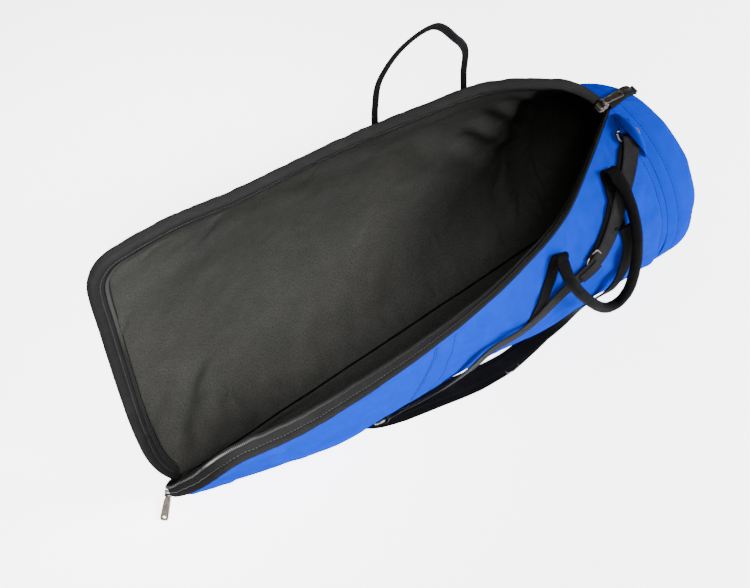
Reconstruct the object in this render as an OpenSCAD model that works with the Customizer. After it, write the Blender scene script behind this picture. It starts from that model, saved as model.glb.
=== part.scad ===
// Telescope carry case: soft padded tube bag, shown unzipped and held open.
// Millimetres, +Z up. The base rest face is at the origin, the flat mouth end
// points to -X, the domed end to +X, the near half to -Y, the far half to +Y.

/* [Case] */
// Length from the mouth corner to the dome seam
barrel_length = 757; // [600:1:900]
// How far the domed end stands past its seam
dome_depth = 100; // [40:1:140]
// Outer fabric thickness
outer_t = 1.2; // [0.8:0.1:2]
// Foam padding thickness
foam_t = 7; // [4:0.5:12]
// Lining thickness
lining_t = 0.9; // [0.5:0.1:1.5]
// Where the far flap ends and the closed barrel begins, along the length
flap_length = 600; // [500:5:650]

/* [Zip] */
// Coil bead radius
coil_r = 2.2; // [1.5:0.1:3]
// Tape thickness
tape_t = 1.0; // [0.6:0.1:1.6]
// Tape width on the inner face
tape_in = 15; // [10:1:20]
// Tape width on the outer face
tape_out = 11; // [8:1:16]
// Slider body length
slider_l = 17; // [12:1:24]
// Pull tab length
pull_l = 41; // [25:1:55]

/* [Handles] */
// Webbing width of the carry handles
leg_w = 20; // [15:1:40]
// Webbing thickness
web_t = 2; // [1.2:0.1:3]
// Rolled grip radius
grip_r = 7.5; // [5:0.5:14]

/* [Shoulder strap] */
// Strap width
strap_w = 22; // [18:1:50]
// Strap ring wire radius
wire_r = 2; // [1.5:0.1:3]

/* [Hidden] */
$fn = 32;
mid_x = 378;      // origin of the frame, from the mouth corner
mid_y = 14;       // origin of the frame, off the bottom fold
sink = 4;         // how far the round bottom is pressed flat
blue = [0.16,0.38,0.84];
black = [0.10,0.10,0.11];
grey = [0.16,0.17,0.16];
steel = [0.72,0.70,0.66];
whole = outer_t + foam_t + lining_t;
// half section per station: x, edge y, edge z, first handle y, z, second handle y, z
near_ctrl = [[0,-148,398,-54,108,-106,254],[100,-151,362,-84,24,-135,228],[200,-146,332,-105,4,-153,198],
 [300,-142,322,-124,0,-159,192],[400,-133,313,-140,0,-168,192],[500,-116,302,-152,0,-191,203],
 [600,-91,308,-169,0,-210,236],[680,-47,314,-198,0,-222,287],[757,2,320,-220,0,-220,320]];
far_ctrl = [[0,120,462,74,138,109,298],[100,120,459,103,123,140,288],[200,120,436,138,93,175,275],
 [300,120,422,157,73,190,268],[400,111,420,159,74,178,274],[500,100,412,170,62,165,277],
 [600,84,404,182,45,150,284],[680,48,388,196,28,120,308],[720,32,362,206,14,140,316],[757,12,320,206,0,137,305]];
// mouth outline: height fraction, x
mouth = [[0,14],[0.05,3],[0.1,-5],[0.17,-9],[0.33,-2],[0.5,11],[0.65,23],[0.77,32],[0.88,40],[0.95,49],[1,74]];

// ---- helper functions -------------------------------------------------
function seg(tab,x,i=0) = (i >= len(tab)-2 || x <= tab[i+1][0]) ? i : seg(tab,x,i+1);
function smooth(tab,x,k) = let(i=seg(tab,x), n=len(tab), x0=tab[i][0], x1=tab[i+1][0],
  y0=tab[i][k], y1=tab[i+1][k], h=x1-x0, u=(x-x0)/h,
  m0 = i==0 ? (y1-y0)/h : (y1-tab[i-1][k])/(x1-tab[i-1][0]),
  m1 = i==n-2 ? (y1-y0)/h : (tab[i+2][k]-y0)/(tab[i+2][0]-x0))
  (2*pow(u,3)-3*u*u+1)*y0 + (pow(u,3)-2*u*u+u)*h*m0 + (3*u*u-2*pow(u,3))*y1 + (pow(u,3)-u*u)*h*m1;
function unit(v) = v/norm(v);
// outer face of one half: side -1 near, +1 far; s along the length, t from the bottom fold to the edge
function skin(side,s,t) = let(tab = side>0 ? far_ctrl : near_ctrl, q = s*757/barrel_length,
  v=[for(k=[1:6]) smooth(tab,q,k)], a=3*t*pow(1-t,2), b=3*t*t*(1-t), c=pow(t,3), f=1-s/barrel_length)
  [s-mid_x+smooth(mouth,t,1)*f*f, a*v[2]+b*v[4]+c*v[0]+mid_y, a*v[3]+b*v[5]+c*v[1]];
function inward(side,s,t) = let(d=0.004, w=min(1,t/0.06),
  a=skin(side,s,min(1,t+d))-skin(side,s,max(0,t-d)),
  b=skin(side,min(barrel_length,s+3),t)-skin(side,max(0,s-3),t))
  unit(unit(cross(a,b))*(-side)*w+[0,0,1]*(1-w));
// a point of the padded wall at depth o under the outer face, pressed flat on the floor
function wall(side,s,t,o) = let(q=skin(side,s,t)+inward(side,s,t)*o) [min(q.x,barrel_length-mid_x),q.y,max(q.z-sink,o)];
function steps(a,b,n) = [for(i=[0:n]) a+(b-a)*i/n];
function lift(p) = p-[mid_x,-mid_y,0];
// smooth path through points, m steps a span
function cr3(P,m) = let(n=len(P)) concat([for(i=[0:n-2]) for(j=[0:m-1]) let(u=j/m,
  a=P[max(0,i-1)], b=P[i], c=P[i+1], d=P[min(n-1,i+2)])
  0.5*(2*b+(c-a)*u+(2*a-5*b+4*c-d)*u*u+(3*b-a-3*c+d)*pow(u,3))],[P[n-1]]);
function along(P,i) = unit(P[min(len(P)-1,i+1)]-P[max(0,i-1)]);

// ---- helper modules ---------------------------------------------------
// closed solid between two point grids
module slab(A,B,flip=false) {
  n=len(A); m=len(A[0]); N=n*m;
  f = concat(
   [for(i=[0:n-2]) for(j=[0:m-2]) let(p=i*m+j) [p,p+m,p+m+1]],
   [for(i=[0:n-2]) for(j=[0:m-2]) let(p=i*m+j) [p,p+m+1,p+1]],
   [for(i=[0:n-2]) for(j=[0:m-2]) let(p=N+i*m+j) [p,p+m+1,p+m]],
   [for(i=[0:n-2]) for(j=[0:m-2]) let(p=N+i*m+j) [p,p+1,p+m+1]],
   [for(i=[0:n-2]) let(p=i*m) [p,p+N,p+N+m]], [for(i=[0:n-2]) let(p=i*m) [p,p+N+m,p+m]],
   [for(i=[0:n-2]) let(p=i*m+m-1) [p,p+m,p+N+m]], [for(i=[0:n-2]) let(p=i*m+m-1) [p,p+N+m,p+N]],
   [for(j=[0:m-2]) [j,j+1,j+1+N]], [for(j=[0:m-2]) [j,j+1+N,j+N]],
   [for(j=[0:m-2]) let(p=(n-1)*m+j) [p,p+N,p+N+1]], [for(j=[0:m-2]) let(p=(n-1)*m+j) [p,p+N+1,p+1]]);
  polyhedron(concat([for(r=A) each r],[for(r=B) each r]), flip ? [for(t=f) [t[2],t[1],t[0]]] : f);
}
// round bar along a path
module rope(P,r,k=8) {
  n=len(P);
  rings=[for(i=[0:n-1]) let(t=along(P,i), a=unit(cross(t,abs(t.z)<0.9?[0,0,1]:[0,1,0])), b=cross(t,a))
    [for(j=[0:k-1]) P[i]+(a*cos(360*j/k)+b*sin(360*j/k))*r]];
  f=concat([[for(j=[k-1:-1:0]) j]],[[for(j=[0:k-1]) (n-1)*k+j]],
   [for(i=[0:n-2]) for(j=[0:k-1]) [i*k+j,i*k+(j+1)%k,(i+1)*k+(j+1)%k]],
   [for(i=[0:n-2]) for(j=[0:k-1]) [i*k+j,(i+1)*k+(j+1)%k,(i+1)*k+j]]);
  polyhedron([for(r=rings) each r],[for(t=f) [for(q=[len(t)-1:-1:0]) t[q]]]);
}
// flat webbing along a path, W the direction of its width at each point
module ribbon(P,W,width,t) {
  n=len(P);
  fr=[for(i=[0:n-1]) let(d=along(P,i), w=unit(W[i]-d*(W[i]*d)), u=unit(cross(d,w))) [w*width/2,u*t/2]];
  slab([for(i=[0:n-1]) [P[i]-fr[i][0]+fr[i][1],P[i]+fr[i][0]+fr[i][1]]],
       [for(i=[0:n-1]) [P[i]-fr[i][0]-fr[i][1],P[i]+fr[i][0]-fr[i][1]]]);
}
module place(p,x,y) { // local frame at p: local X along x, local Z near the normal of x,y
  z=unit(cross(x,y)); yy=cross(z,x);
  multmatrix([[x.x,yy.x,z.x,p.x],[x.y,yy.y,z.y,p.y],[x.z,yy.z,z.z,p.z]]) children();
}

// ---- padded wall ------------------------------------------------------
heights = [0,0.06,0.14,0.23,0.33,0.44,0.55,0.66,0.76,0.85,0.92,0.97,1];
far_heights = [0.024,0.08,0.16,0.24,0.33,0.44,0.55,0.66,0.76,0.85,0.92,0.97,1];
near_s = steps(0,barrel_length,20);
barrel_s = steps(flap_length+4,barrel_length,6);
flap_s = steps(0,flap_length,16);
module layer(side,S,T,o0,o1) {
  slab([for(s=S) [for(t=T) wall(side,s,t,o0)]],[for(s=S) [for(t=T) wall(side,s,t,o1)]],side>0);
}
g = 0.15;
module near_outer() color(blue) layer(-1,near_s,heights,0,outer_t-g);
module near_foam() color(grey) layer(-1,near_s,heights,outer_t+g,outer_t+foam_t-g);
module near_lining() color(black) layer(-1,near_s,heights,outer_t+foam_t+g,whole);
module barrel_half(o0,o1) translate([0,0.5,0]) layer(1,barrel_s,heights,o0,o1);
module barrel_outer() color(blue) barrel_half(0,outer_t-g);
module barrel_foam() color(grey) barrel_half(outer_t+g,outer_t+foam_t-g);
module barrel_lining() color(black) barrel_half(outer_t+foam_t+g,whole);
module flap_outer() color(blue) layer(1,flap_s,far_heights,0,outer_t-g);
module flap_foam() color(grey) layer(1,flap_s,far_heights,outer_t+g,outer_t+foam_t-g);
module flap_lining() color(black) layer(1,flap_s,far_heights,outer_t+foam_t+g,whole);
// domed end: the seam ring drawn in to a blunt tip
dome_ring = concat([for(t=[0,0.1,0.2,0.32,0.44,0.56,0.68,0.8,0.9,1]) wall(-1,barrel_length,t,0)],
  [for(t=[1,0.9,0.8,0.68,0.56,0.44,0.32,0.2,0.1]) wall(1,barrel_length,t,0)]);
dome_turn = [0,14,28,42,54,64,73,80];
function dome(a,p,o) = let(c=pow(cos(a),0.9), s=pow(sin(a),0.9), k=1-o/160,
  cy=mid_y-28*s, cz=158)
  [barrel_length-mid_x+0.6+(dome_depth-o)*s, cy+(p.y-mid_y)*k*c, max(cz+(p.z-158)*k*c, o)];
module dome_layer(o0,o1) {
  n=len(dome_turn); m=len(dome_ring);
  A=[for(a=dome_turn) [for(j=[0:m]) dome(a,dome_ring[j%m],o0)]];
  B=[for(a=dome_turn) [for(j=[0:m]) dome(a,dome_ring[j%m],o1)]];
  N=n*m;
  pts=concat([for(r=A) for(j=[0:m-1]) r[j]],[for(r=B) for(j=[0:m-1]) r[j]],
    [[A[n-1][0].x+0.5,mid_y-28,158],[B[n-1][0].x+0.5,mid_y-28,158]]);
  f=concat(
   [for(i=[0:n-2]) for(j=[0:m-1]) [i*m+j,(i+1)*m+j,(i+1)*m+(j+1)%m]],
   [for(i=[0:n-2]) for(j=[0:m-1]) [i*m+j,(i+1)*m+(j+1)%m,i*m+(j+1)%m]],
   [for(i=[0:n-2]) for(j=[0:m-1]) [N+i*m+j,N+(i+1)*m+(j+1)%m,N+(i+1)*m+j]],
   [for(i=[0:n-2]) for(j=[0:m-1]) [N+i*m+j,N+i*m+(j+1)%m,N+(i+1)*m+(j+1)%m]],
   [for(j=[0:m-1]) [j,(j+1)%m,N+(j+1)%m]], [for(j=[0:m-1]) [j,N+(j+1)%m,N+j]],
   [for(j=[0:m-1]) [(n-1)*m+j,2*N,(n-1)*m+(j+1)%m]],
   [for(j=[0:m-1]) [N+(n-1)*m+j,N+(n-1)*m+(j+1)%m,2*N+1]]);
  polyhedron(pts,f);
}
module dome_outer() color(blue) dome_layer(0,outer_t-g);
module dome_foam() color(grey) dome_layer(outer_t+g,outer_t+foam_t-g);
module dome_lining() color(black) dome_layer(outer_t+foam_t+g,whole);

// ---- zip --------------------------------------------------------------
// the free rim of one half, from low on the mouth up round the corner and along the top
function rim(side,t0,s0,s1,S) = concat(
  s0>0 ? [[side,s0,1]] : [for(t=concat([t0],[for(q=heights) if(q>t0+0.03 && q<1) q])) [side,0,t]],
  s0>0 ? [] : [for(q=[0,14,27]) [side,q,1]], [for(q=S) if(q>s0+12 && q<s1-3 && q>30) [side,q,1]], [[side,s1,1]]);
function rim_p(c,o) = wall(c[0],c[1],c[2],o);
function rim_frame(R,i) = let(a=rim_p(R[max(0,i-1)],0), b=rim_p(R[min(len(R)-1,i+1)],0),
  d=unit(b-a), n0=inward(R[i][0],R[i][1],R[i][2]), n=unit(n0-d*(n0*d)), e=cross(n,d)*R[i][0]) [e,n];
// the same, but following the wall in from the rim: e < 0 is the distance from the rim
function rim_in(R,i,e,n) = let(c=R[i], f=rim_frame(R,i), h=0.01, b=1,
  Ss=(skin(c[0],c[1]+b,c[2])-skin(c[0],c[1],c[2]))/b, St=(skin(c[0],c[1],c[2])-skin(c[0],c[1],c[2]-h))/h,
  aa=Ss*Ss, ab=Ss*St, bb=St*St, ea=f[0]*Ss, eb=f[0]*St, det=aa*bb-ab*ab,
  ds=(ea*bb-eb*ab)/det, dt=(eb*aa-ea*ab)/det)
  wall(c[0],min(barrel_length,max(0,c[1]+e*ds)),min(1,max(0,c[2]+e*dt)),n);
function rim_at(R,i,e,n) = let(f=rim_frame(R,i)) e<0 ? rim_in(R,i,e,n) : rim_p(R[i],0)+f[0]*e+f[1]*n;
zg = 1.9; // air between tape and cloth
function tape_curve(k,out) = [[-out,-zg-k],[-4,-zg-k],[0.5+k*0.6,-zg-k*0.8],[1.4+k,whole*0.3],
  [1.4+k,whole*0.75],[0.5+k*0.6,whole+zg+k*0.8],[-5,whole+zg+k],[-tape_in,whole+zg+k]];
module tape(R,flip,out=tape_out) {
  A=[for(i=[0:len(R)-1]) [for(q=tape_curve(0,out)) rim_at(R,i,q[0],q[1])]];
  B=[for(i=[0:len(R)-1]) [for(q=tape_curve(tape_t,out)) rim_at(R,i,q[0],q[1])]];
  slab(A,B,flip);
}
module coil(R) rope([for(i=[0:len(R)-1]) rim_at(R,i,-tape_in-coil_r-0.6,whole+coil_r+zg+0.2)],coil_r,6);
near_rim = rim(-1,0.14,0,barrel_length-34,near_s);
flap_rim = rim(1,0.14,0,flap_length-1,flap_s);
barrel_rim = rim(1,0,flap_length+5,barrel_length-34,barrel_s);
module zip_tape_near() color(black) tape(near_rim,true,5);
module zip_coil_near() color(grey) coil(near_rim);
module zip_tape_flap() color(black) tape(flap_rim,false);
module zip_coil_flap() color(grey) coil(flap_rim);
module zip_tape_barrel() color(black) translate([0,0.5,0]) tape(barrel_rim,false);
module zip_coil_barrel() color(grey) translate([0,0.5,0]) coil(barrel_rim);
// closed zip running on over the dome, and its end stop
top_run = [for(a=[3,9,15,21,27,33]) dome(a,[0,mid_y+7+0.9*(a-3),320-sink],0)+[0,0,3.3]];
module zip_closed_end() color(black) ribbon(concat([top_run[0]-[6,0,-0.6]],top_run),[for(i=[0:6]) [0,1,0]],17,1.6);
module zip_end_stop() color(steel) translate(top_run[5]+[4.5,0,-2.2]) rotate([0,36,0]) translate([0,0,2.4]) cube([4,12,3.4],center=true);
// slider body: local X along the zip, Z away from the fabric, pivot bar across
bar_z = 7.6;
module slider_body() {
  translate([0,0,-3]) cube([slider_l,13,2],center=true);
  translate([0,0,2.6]) cube([slider_l,11,2],center=true);
  translate([slider_l/2-2.5,0,0]) cube([4,2.4,6],center=true);
  for(y=[-4.6,4.6]) translate([0,y,5.4]) cube([4,1.6,5.6],center=true);
  for(y=[-4.6,4.6]) translate([0,y,bar_z]) rotate([90,0,0]) cylinder(r=2.4,h=1.6,center=true);
  translate([0,0,bar_z]) rotate([90,0,0]) cylinder(r=1.3,h=9,center=true);
}
// pull tab: bore along Y around the bar, blade toward -X
module pull_body() {
  difference() {
    union() { translate([-pull_l/2-1,0,0]) cube([pull_l-9,7,1.8],center=true);
      translate([-pull_l+6,0,0]) cylinder(r=6,h=1.8,center=true);
      rotate([90,0,0]) cylinder(r=2.9,h=7,center=true);
      translate([-4.5,0,0]) cube([4,7,1.8],center=true); }
    rotate([90,0,0]) cylinder(r=1.8,h=20,center=true);
    translate([-pull_l+6,0,0]) cylinder(r=2.6,h=6,center=true);
  }
}
sl_p = lift([-8.4,-7.2,15]); sl_x = [0,0,1]; sl_y = unit([-1,1,0]);
module slider_left() color(steel) place(sl_p,sl_x,sl_y) slider_body();
module pull_left() color(steel) place(sl_p,sl_x,sl_y) translate([0,0,bar_z]) rotate([0,72,0]) pull_body();
sr_p = top_run[0]+[-18,1,2.8];
module slider_right() color(steel) translate(sr_p) rotate([0,0,180]) slider_body();
module pull_right() color(steel) translate(sr_p+[0,0,bar_z]) rotate([0,0,180]) rotate([0,-8,0]) pull_body();

// ---- handles ----------------------------------------------------------
// webbing sewn down on the wall, from (sa,ta) to (sb,tb)
module leg(side,sa,ta,sb,tb) {
  U=steps(0,1,10);
  P=[for(u=U) wall(side,sa+(sb-sa)*u,ta+(tb-ta)*u,-web_t/2-1.5)];
  ribbon(P,[for(i=[0:10]) cross(along(P,i),inward(side,sa+(sb-sa)*U[i],ta+(tb-ta)*U[i]))],leg_w,web_t);
}
far_l = 445; far_r = 580;
module near_leg_left() color(black) leg(-1,508,0.735,559,0.914);
module near_leg_right() color(black) leg(-1,679,0.871,687,0.933);
module far_leg_left() color(black) leg(1,far_l,0.6,far_l,0.93);
module far_leg_right() color(black) leg(1,far_r,0.6,far_r,0.93);
// rolled grip hanging from the two near legs
grip_pts = [for(q=[[560,0.926,15],[559,0.895,20],[564,0.838,24],[589,0.718,27],[622,0.599,29],[649,0.551,29],
  [661,0.585,28],[667,0.635,26],[673,0.695,24],[681,0.759,21],[687,0.821,18.5],[691,0.878,17],
  [691,0.916,15.5]]) wall(-1,q[0],q[1],-q[2])];
grip_path = cr3(grip_pts,3);
module near_grip() color(black) rope(grip_path,grip_r,8);
// flat webbing loop standing over the far edge
fa = wall(1,far_l,0.93,-9.4); fb = wall(1,far_r,0.93,-9.4);
loop_path = cr3([fa-[0,0,4],fa+[2,2,30],fa+[6,-2,84],fa+[30,-12,136],(fa+fb)/2+[-2,-18,168],fb+[-38,-14,136],
  fb+[-10,-4,84],fb+[-2,2,30],fb-[0,0,4]],3);
module far_handle() color(black) ribbon(loop_path,[for(i=[0:len(loop_path)-1]) let(d=along(loop_path,i)) cross(d,[0,1,0.1])],leg_w*0.5,web_t);

// ---- shoulder strap ---------------------------------------------------
// ring with a straight pivot bar at the origin along X, hanging toward -Y
module strap_ring(w,h) {
  rotate([0,90,0]) cylinder(r=wire_r,h=w,center=true);
  translate([0,-h,0]) rotate([0,90,0]) cylinder(r=wire_r,h=w-10,center=true);
  for(x=[-1,1]) {
    translate([x*w/2,0,0]) sphere(r=wire_r);
    translate([x*w/2,0,0]) rotate([90,0,0]) cylinder(r=wire_r,h=h-5);
    translate([x*(w/2-5),-h+5,0]) rotate([0,0,x>0?270:180]) rotate_extrude(angle=90) translate([5,0]) circle(r=wire_r);
  }
}
// sewn tab: loop around the pivot bar and a tail along +Y
module ring_tab(w,tail) {
  difference() {
    union() { rotate([0,90,0]) cylinder(r=4.3,h=w,center=true);
      translate([0,tail/2,-3.2]) cube([w,tail,2.2],center=true); }
    rotate([0,90,0]) cylinder(r=2.5,h=w+20,center=true);
  }
}
// local frames of the two strap rings: on the wall, the right one turned with the strap
ring_w = strap_w+8; ring_h = 14;
function way(s,t,a,b) = unit(unit(skin(-1,min(barrel_length,s+2),t)-skin(-1,s-2,t))*a+unit(skin(-1,s,t+0.01)-skin(-1,s,t-0.01))*b);
rr_s = 750; rr_t = 0.938; rl_s = 290; rl_t = 0.37;
rr_p = wall(-1,rr_s,rr_t,-6.4); rr_y = way(rr_s,rr_t,0.65,0.76); rr_x = way(rr_s,rr_t,0.76,-0.65);
rl_p = wall(-1,rl_s,rl_t,-7.4); rl_y = way(rl_s,rl_t,-0.79,-0.61); rl_x = way(rl_s,rl_t,-0.61,0.79);
module ring_tab_right() color(blue) place(rr_p,rr_x,rr_y) ring_tab(20,18);
module ring_right() color(steel) place(rr_p,rr_x,rr_y) strap_ring(ring_w,ring_h);
module ring_tab_left() color(black) place(rl_p,rl_x,rl_y) ring_tab(20,18);
module ring_left() color(steel) place(rl_p,rl_x,rl_y) strap_ring(ring_w,ring_h);
// sewn webbing loop round the ring's free bar
loop_r = 6.2;
module strap_loop() translate([0,-ring_h,0]) rotate([0,90,0]) difference() {
  cylinder(r=loop_r,h=strap_w,center=true); cylinder(r=loop_r-1.8,h=strap_w+2,center=true); }
module strap_loop_right() color(black) place(rr_p,rr_x,rr_y) strap_loop();
module strap_loop_left() color(black) place(rl_p,rl_x,rl_y) strap_loop();
// upper run: from the right ring over the wall, on along it, then down to the left ring
ua = rr_p-rr_y*(ring_h+loop_r+2.4); ub = rl_p-rl_y*(ring_h+loop_r+2.4);
upper_on = [[727,0.893,6],[708,0.876,5.5],[686,0.859,5.5],[661,0.826,5.5],[637,0.802,7.5],[619,0.792,8.5],[603,0.79,8],[585,0.785,6],[558,0.778,5.5],[521,0.742,5.5],[486,0.726,6.5],[438,0.735,7.5],[409,0.655,7],[376,0.56,7],[346,0.48,7],[326,0.44,7]];
upper_pts = concat([ua,ua-rr_y*7+[0,0,-0.4]],[for(q=upper_on) wall(-1,q[0],q[1],-q[2])],[ub-rl_y*7,ub]);
upper_n = concat([for(i=[0:1]) inward(-1,rr_s,rr_t)],[for(q=upper_on) inward(-1,q[0],q[1])],
  [for(i=[0:1]) inward(-1,rl_s,rl_t)]);
upper_path = cr3(upper_pts,3); upper_nn = cr3(upper_n,3);
upper_side = [for(i=[0:len(upper_path)-1]) cross(along(upper_path,i),upper_nn[i])];
module strap_upper() color(black) ribbon(upper_path,upper_side,strap_w,web_t);
// lower run: down over the wall, off it to the floor and along the case
lower_on = [[676,0.795,9.5],[676,0.737,9],[669,0.685,9],[660,0.623,9.5],[642,0.585,11]];
lower_free = [[254,-147.5,130.5],[241,-137,94],[223,-128,55.5],[202,-122,24.5],[173,-121,8],[138,-122,7],[102,-118,7],[65,-111,5],[23,-101,4],[-20,-92,4],[-57,-87,4],[-81,-84,4]];
lower_pts = concat([for(q=lower_on) wall(-1,q[0],q[1],-q[2])],lower_free);
lower_n = concat([for(q=lower_on) inward(-1,q[0],q[1])],[[-0.1,0.85,-0.3],[-0.1,0.7,-0.5],[0,0.45,-0.8],[0,0.2,-0.95]],[for(i=[4:11]) [0,0,-1]]);
lower_path = cr3(lower_pts,3); lower_nn = cr3(lower_n,3);
lower_side = [for(i=[0:len(lower_path)-1]) cross(along(lower_path,i),lower_nn[i])];
module strap_lower() color(black) ribbon(lower_path,lower_side,strap_w,web_t);
// three-bar adjuster around the webbing, local X along the strap
module adjuster() {
  for(y=[-1,1]) translate([0,y*(strap_w/2+3.6),0]) cube([22,2.4,12],center=true);
  for(x=[-9,9]) translate([x,0,4.9]) rotate([90,0,0]) cylinder(r=1.3,h=strap_w+7,center=true);
  translate([0,0,-4.9]) rotate([90,0,0]) cylinder(r=1.3,h=strap_w+7,center=true);
}
au_i = 21; al_i = 30; // stations on the two runs
module adjuster_upper() color(steel) place(upper_path[au_i],along(upper_path,au_i),upper_side[au_i]) adjuster();
module adjuster_lower() color(steel) place(lower_path[al_i],along(lower_path,al_i),lower_side[al_i]) adjuster();

near_outer();
near_foam();
near_lining();
barrel_outer();
barrel_foam();
barrel_lining();
dome_outer();
dome_foam();
dome_lining();
zip_tape_near();
zip_coil_near();
zip_tape_barrel();
zip_coil_barrel();
zip_closed_end();
zip_end_stop();
near_leg_left();
near_leg_right();
ring_tab_right();
ring_tab_left();
strap_upper();
strap_lower();
strap_loop_right();
strap_loop_left();
flap_outer();
flap_foam();
flap_lining();
zip_tape_flap();
zip_coil_flap();
far_leg_left();
far_leg_right();
far_handle();
near_grip();
slider_left();
pull_left();
slider_right();
pull_right();
ring_right();
ring_left();
adjuster_upper();
adjuster_lower();
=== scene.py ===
import math
import bpy
import bmesh
import numpy as np
from mathutils import Matrix, Vector


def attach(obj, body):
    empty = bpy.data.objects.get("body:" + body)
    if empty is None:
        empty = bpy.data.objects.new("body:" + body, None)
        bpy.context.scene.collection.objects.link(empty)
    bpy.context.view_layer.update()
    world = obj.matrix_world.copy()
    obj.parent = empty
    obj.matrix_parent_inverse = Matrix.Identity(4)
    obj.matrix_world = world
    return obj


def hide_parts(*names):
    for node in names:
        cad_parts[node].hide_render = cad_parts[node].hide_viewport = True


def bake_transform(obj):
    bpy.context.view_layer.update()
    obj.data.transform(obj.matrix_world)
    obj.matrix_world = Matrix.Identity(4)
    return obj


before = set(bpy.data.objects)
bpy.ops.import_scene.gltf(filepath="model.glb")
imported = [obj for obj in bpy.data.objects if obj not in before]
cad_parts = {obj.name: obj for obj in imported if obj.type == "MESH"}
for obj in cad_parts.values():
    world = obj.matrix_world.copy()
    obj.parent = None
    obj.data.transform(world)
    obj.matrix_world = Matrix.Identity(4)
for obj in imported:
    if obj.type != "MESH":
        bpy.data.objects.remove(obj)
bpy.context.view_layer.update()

SCN = bpy.context.scene

# ------------------------------------------------------------------ shape of the bag (same numbers as the CAD, in mm)
L = 757.0
WHOLE = 9.1
NEAR = np.array([[0, -148, 398, -54, 108, -106, 254], [100, -151, 362, -84, 24, -135, 228], [200, -146, 332, -105, 4, -153, 198],
                 [300, -142, 322, -124, 0, -159, 192], [400, -133, 313, -140, 0, -168, 192], [500, -116, 302, -152, 0, -191, 203],
                 [600, -91, 308, -169, 0, -210, 236], [680, -47, 314, -198, 0, -222, 287], [757, 2, 320, -220, 0, -220, 320]], float)
FAR = np.array([[0, 120, 462, 74, 138, 109, 298], [100, 120, 459, 103, 123, 140, 288], [200, 120, 436, 138, 93, 175, 275],
                [300, 120, 422, 157, 73, 190, 268], [400, 111, 420, 159, 74, 178, 274], [500, 100, 412, 170, 62, 165, 277],
                [600, 84, 404, 182, 45, 150, 284], [680, 48, 388, 196, 28, 120, 308], [720, 32, 362, 206, 14, 140, 316],
                [757, 12, 320, 206, 0, 137, 305]], float)
MOUTH = np.array([[0, 14], [0.05, 3], [0.1, -5], [0.17, -9], [0.33, -2], [0.5, 11], [0.65, 23], [0.77, 32], [0.88, 40], [0.95, 49], [1, 74]], float)


def smooth(tab, x, k):
    x = np.asarray(x, float)
    X, Y, n = tab[:, 0], tab[:, k], len(tab)
    i = np.clip(np.searchsorted(X, x, side="left") - 1, 0, n - 2)
    m = np.empty(n)
    m[1:-1] = (Y[2:] - Y[:-2]) / (X[2:] - X[:-2])
    m[0], m[-1] = (Y[1] - Y[0]) / (X[1] - X[0]), (Y[-1] - Y[-2]) / (X[-1] - X[-2])
    h = X[i + 1] - X[i]
    u = (x - X[i]) / h
    return (2 * u**3 - 3 * u * u + 1) * Y[i] + (u**3 - 2 * u * u + u) * h * m[i] + (3 * u * u - 2 * u**3) * Y[i + 1] + (u**3 - u * u) * h * m[i + 1]


def unit(v):
    v = np.asarray(v, float)
    return v / np.maximum(np.linalg.norm(v, axis=-1, keepdims=True), 1e-9)


def skin(side, s, t):
    s, t = np.broadcast_arrays(np.asarray(s, float), np.asarray(t, float))
    tab = FAR if side > 0 else NEAR
    v = [smooth(tab, s, k) for k in range(1, 7)]
    a, b, c, f = 3 * t * (1 - t) ** 2, 3 * t * t * (1 - t), t**3, 1 - s / L
    return np.stack([s - 378 + smooth(MOUTH, t, 1) * f * f, a * v[2] + b * v[4] + c * v[0] + 14, a * v[3] + b * v[5] + c * v[1]], -1)


def inward(side, s, t):
    s, t = np.broadcast_arrays(np.asarray(s, float), np.asarray(t, float))
    d, w = 0.004, np.minimum(1, t / 0.06)[..., None]
    a = skin(side, s, np.minimum(1, t + d)) - skin(side, s, np.maximum(0, t - d))
    b = skin(side, np.minimum(L, s + 3), t) - skin(side, np.maximum(0, s - 3), t)
    return unit(unit(np.cross(a, b)) * (-side) * w + np.array([0, 0, 1.0]) * (1 - w))


def wall(side, s, t, o):
    s, t, o = np.broadcast_arrays(np.asarray(s, float), np.asarray(t, float), np.asarray(o, float))
    q = skin(side, s, t) + inward(side, s, t) * o[..., None]
    q[..., 0] = np.minimum(q[..., 0], L - 378)
    q[..., 2] = np.maximum(q[..., 2] - 4, o)
    return q


def dome(a, p, o):
    """a in degrees from the seam (0) to the tip (90), p ring points, o depth under the outer face."""
    a = np.radians(np.asarray(a, float))
    c, s = np.cos(a) ** 0.9, np.sin(a) ** 0.9
    k = 1 - o / 160
    q = np.empty(np.broadcast_shapes(a.shape + (3,), p.shape))
    q[..., 0] = L - 378 + 0.6 + (100 - o) * s
    q[..., 1] = 14 - 28 * s + (p[..., 1] - 14) * k * c
    q[..., 2] = np.maximum(158 + (p[..., 2] - 158) * k * c, o)
    return q


def lift(p):
    return np.array([p[0] - 378, p[1] + 14, p[2]], float)


def cr3(P, m):
    P = np.asarray(P, float)
    n, out = len(P), []
    for i in range(n - 1):
        a, b, c, d = P[max(0, i - 1)], P[i], P[i + 1], P[min(n - 1, i + 2)]
        for j in range(m):
            u = j / m
            out.append(0.5 * (2 * b + (c - a) * u + (2 * a - 5 * b + 4 * c - d) * u * u + (3 * b - a - 3 * c + d) * u**3))
    out.append(P[-1])
    return np.array(out)


def arc(P):
    return np.concatenate([[0], np.cumsum(np.linalg.norm(np.diff(P, axis=0), axis=1))])


def resample(P, step):
    d = arc(P)
    n = max(2, int(round(d[-1] / step)) + 1)
    q = np.linspace(0, d[-1], n)
    return np.stack([np.interp(q, d, P[:, k]) for k in range(P.shape[1])], 1)


def tangents(P):
    return unit(np.gradient(P, axis=0))


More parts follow.
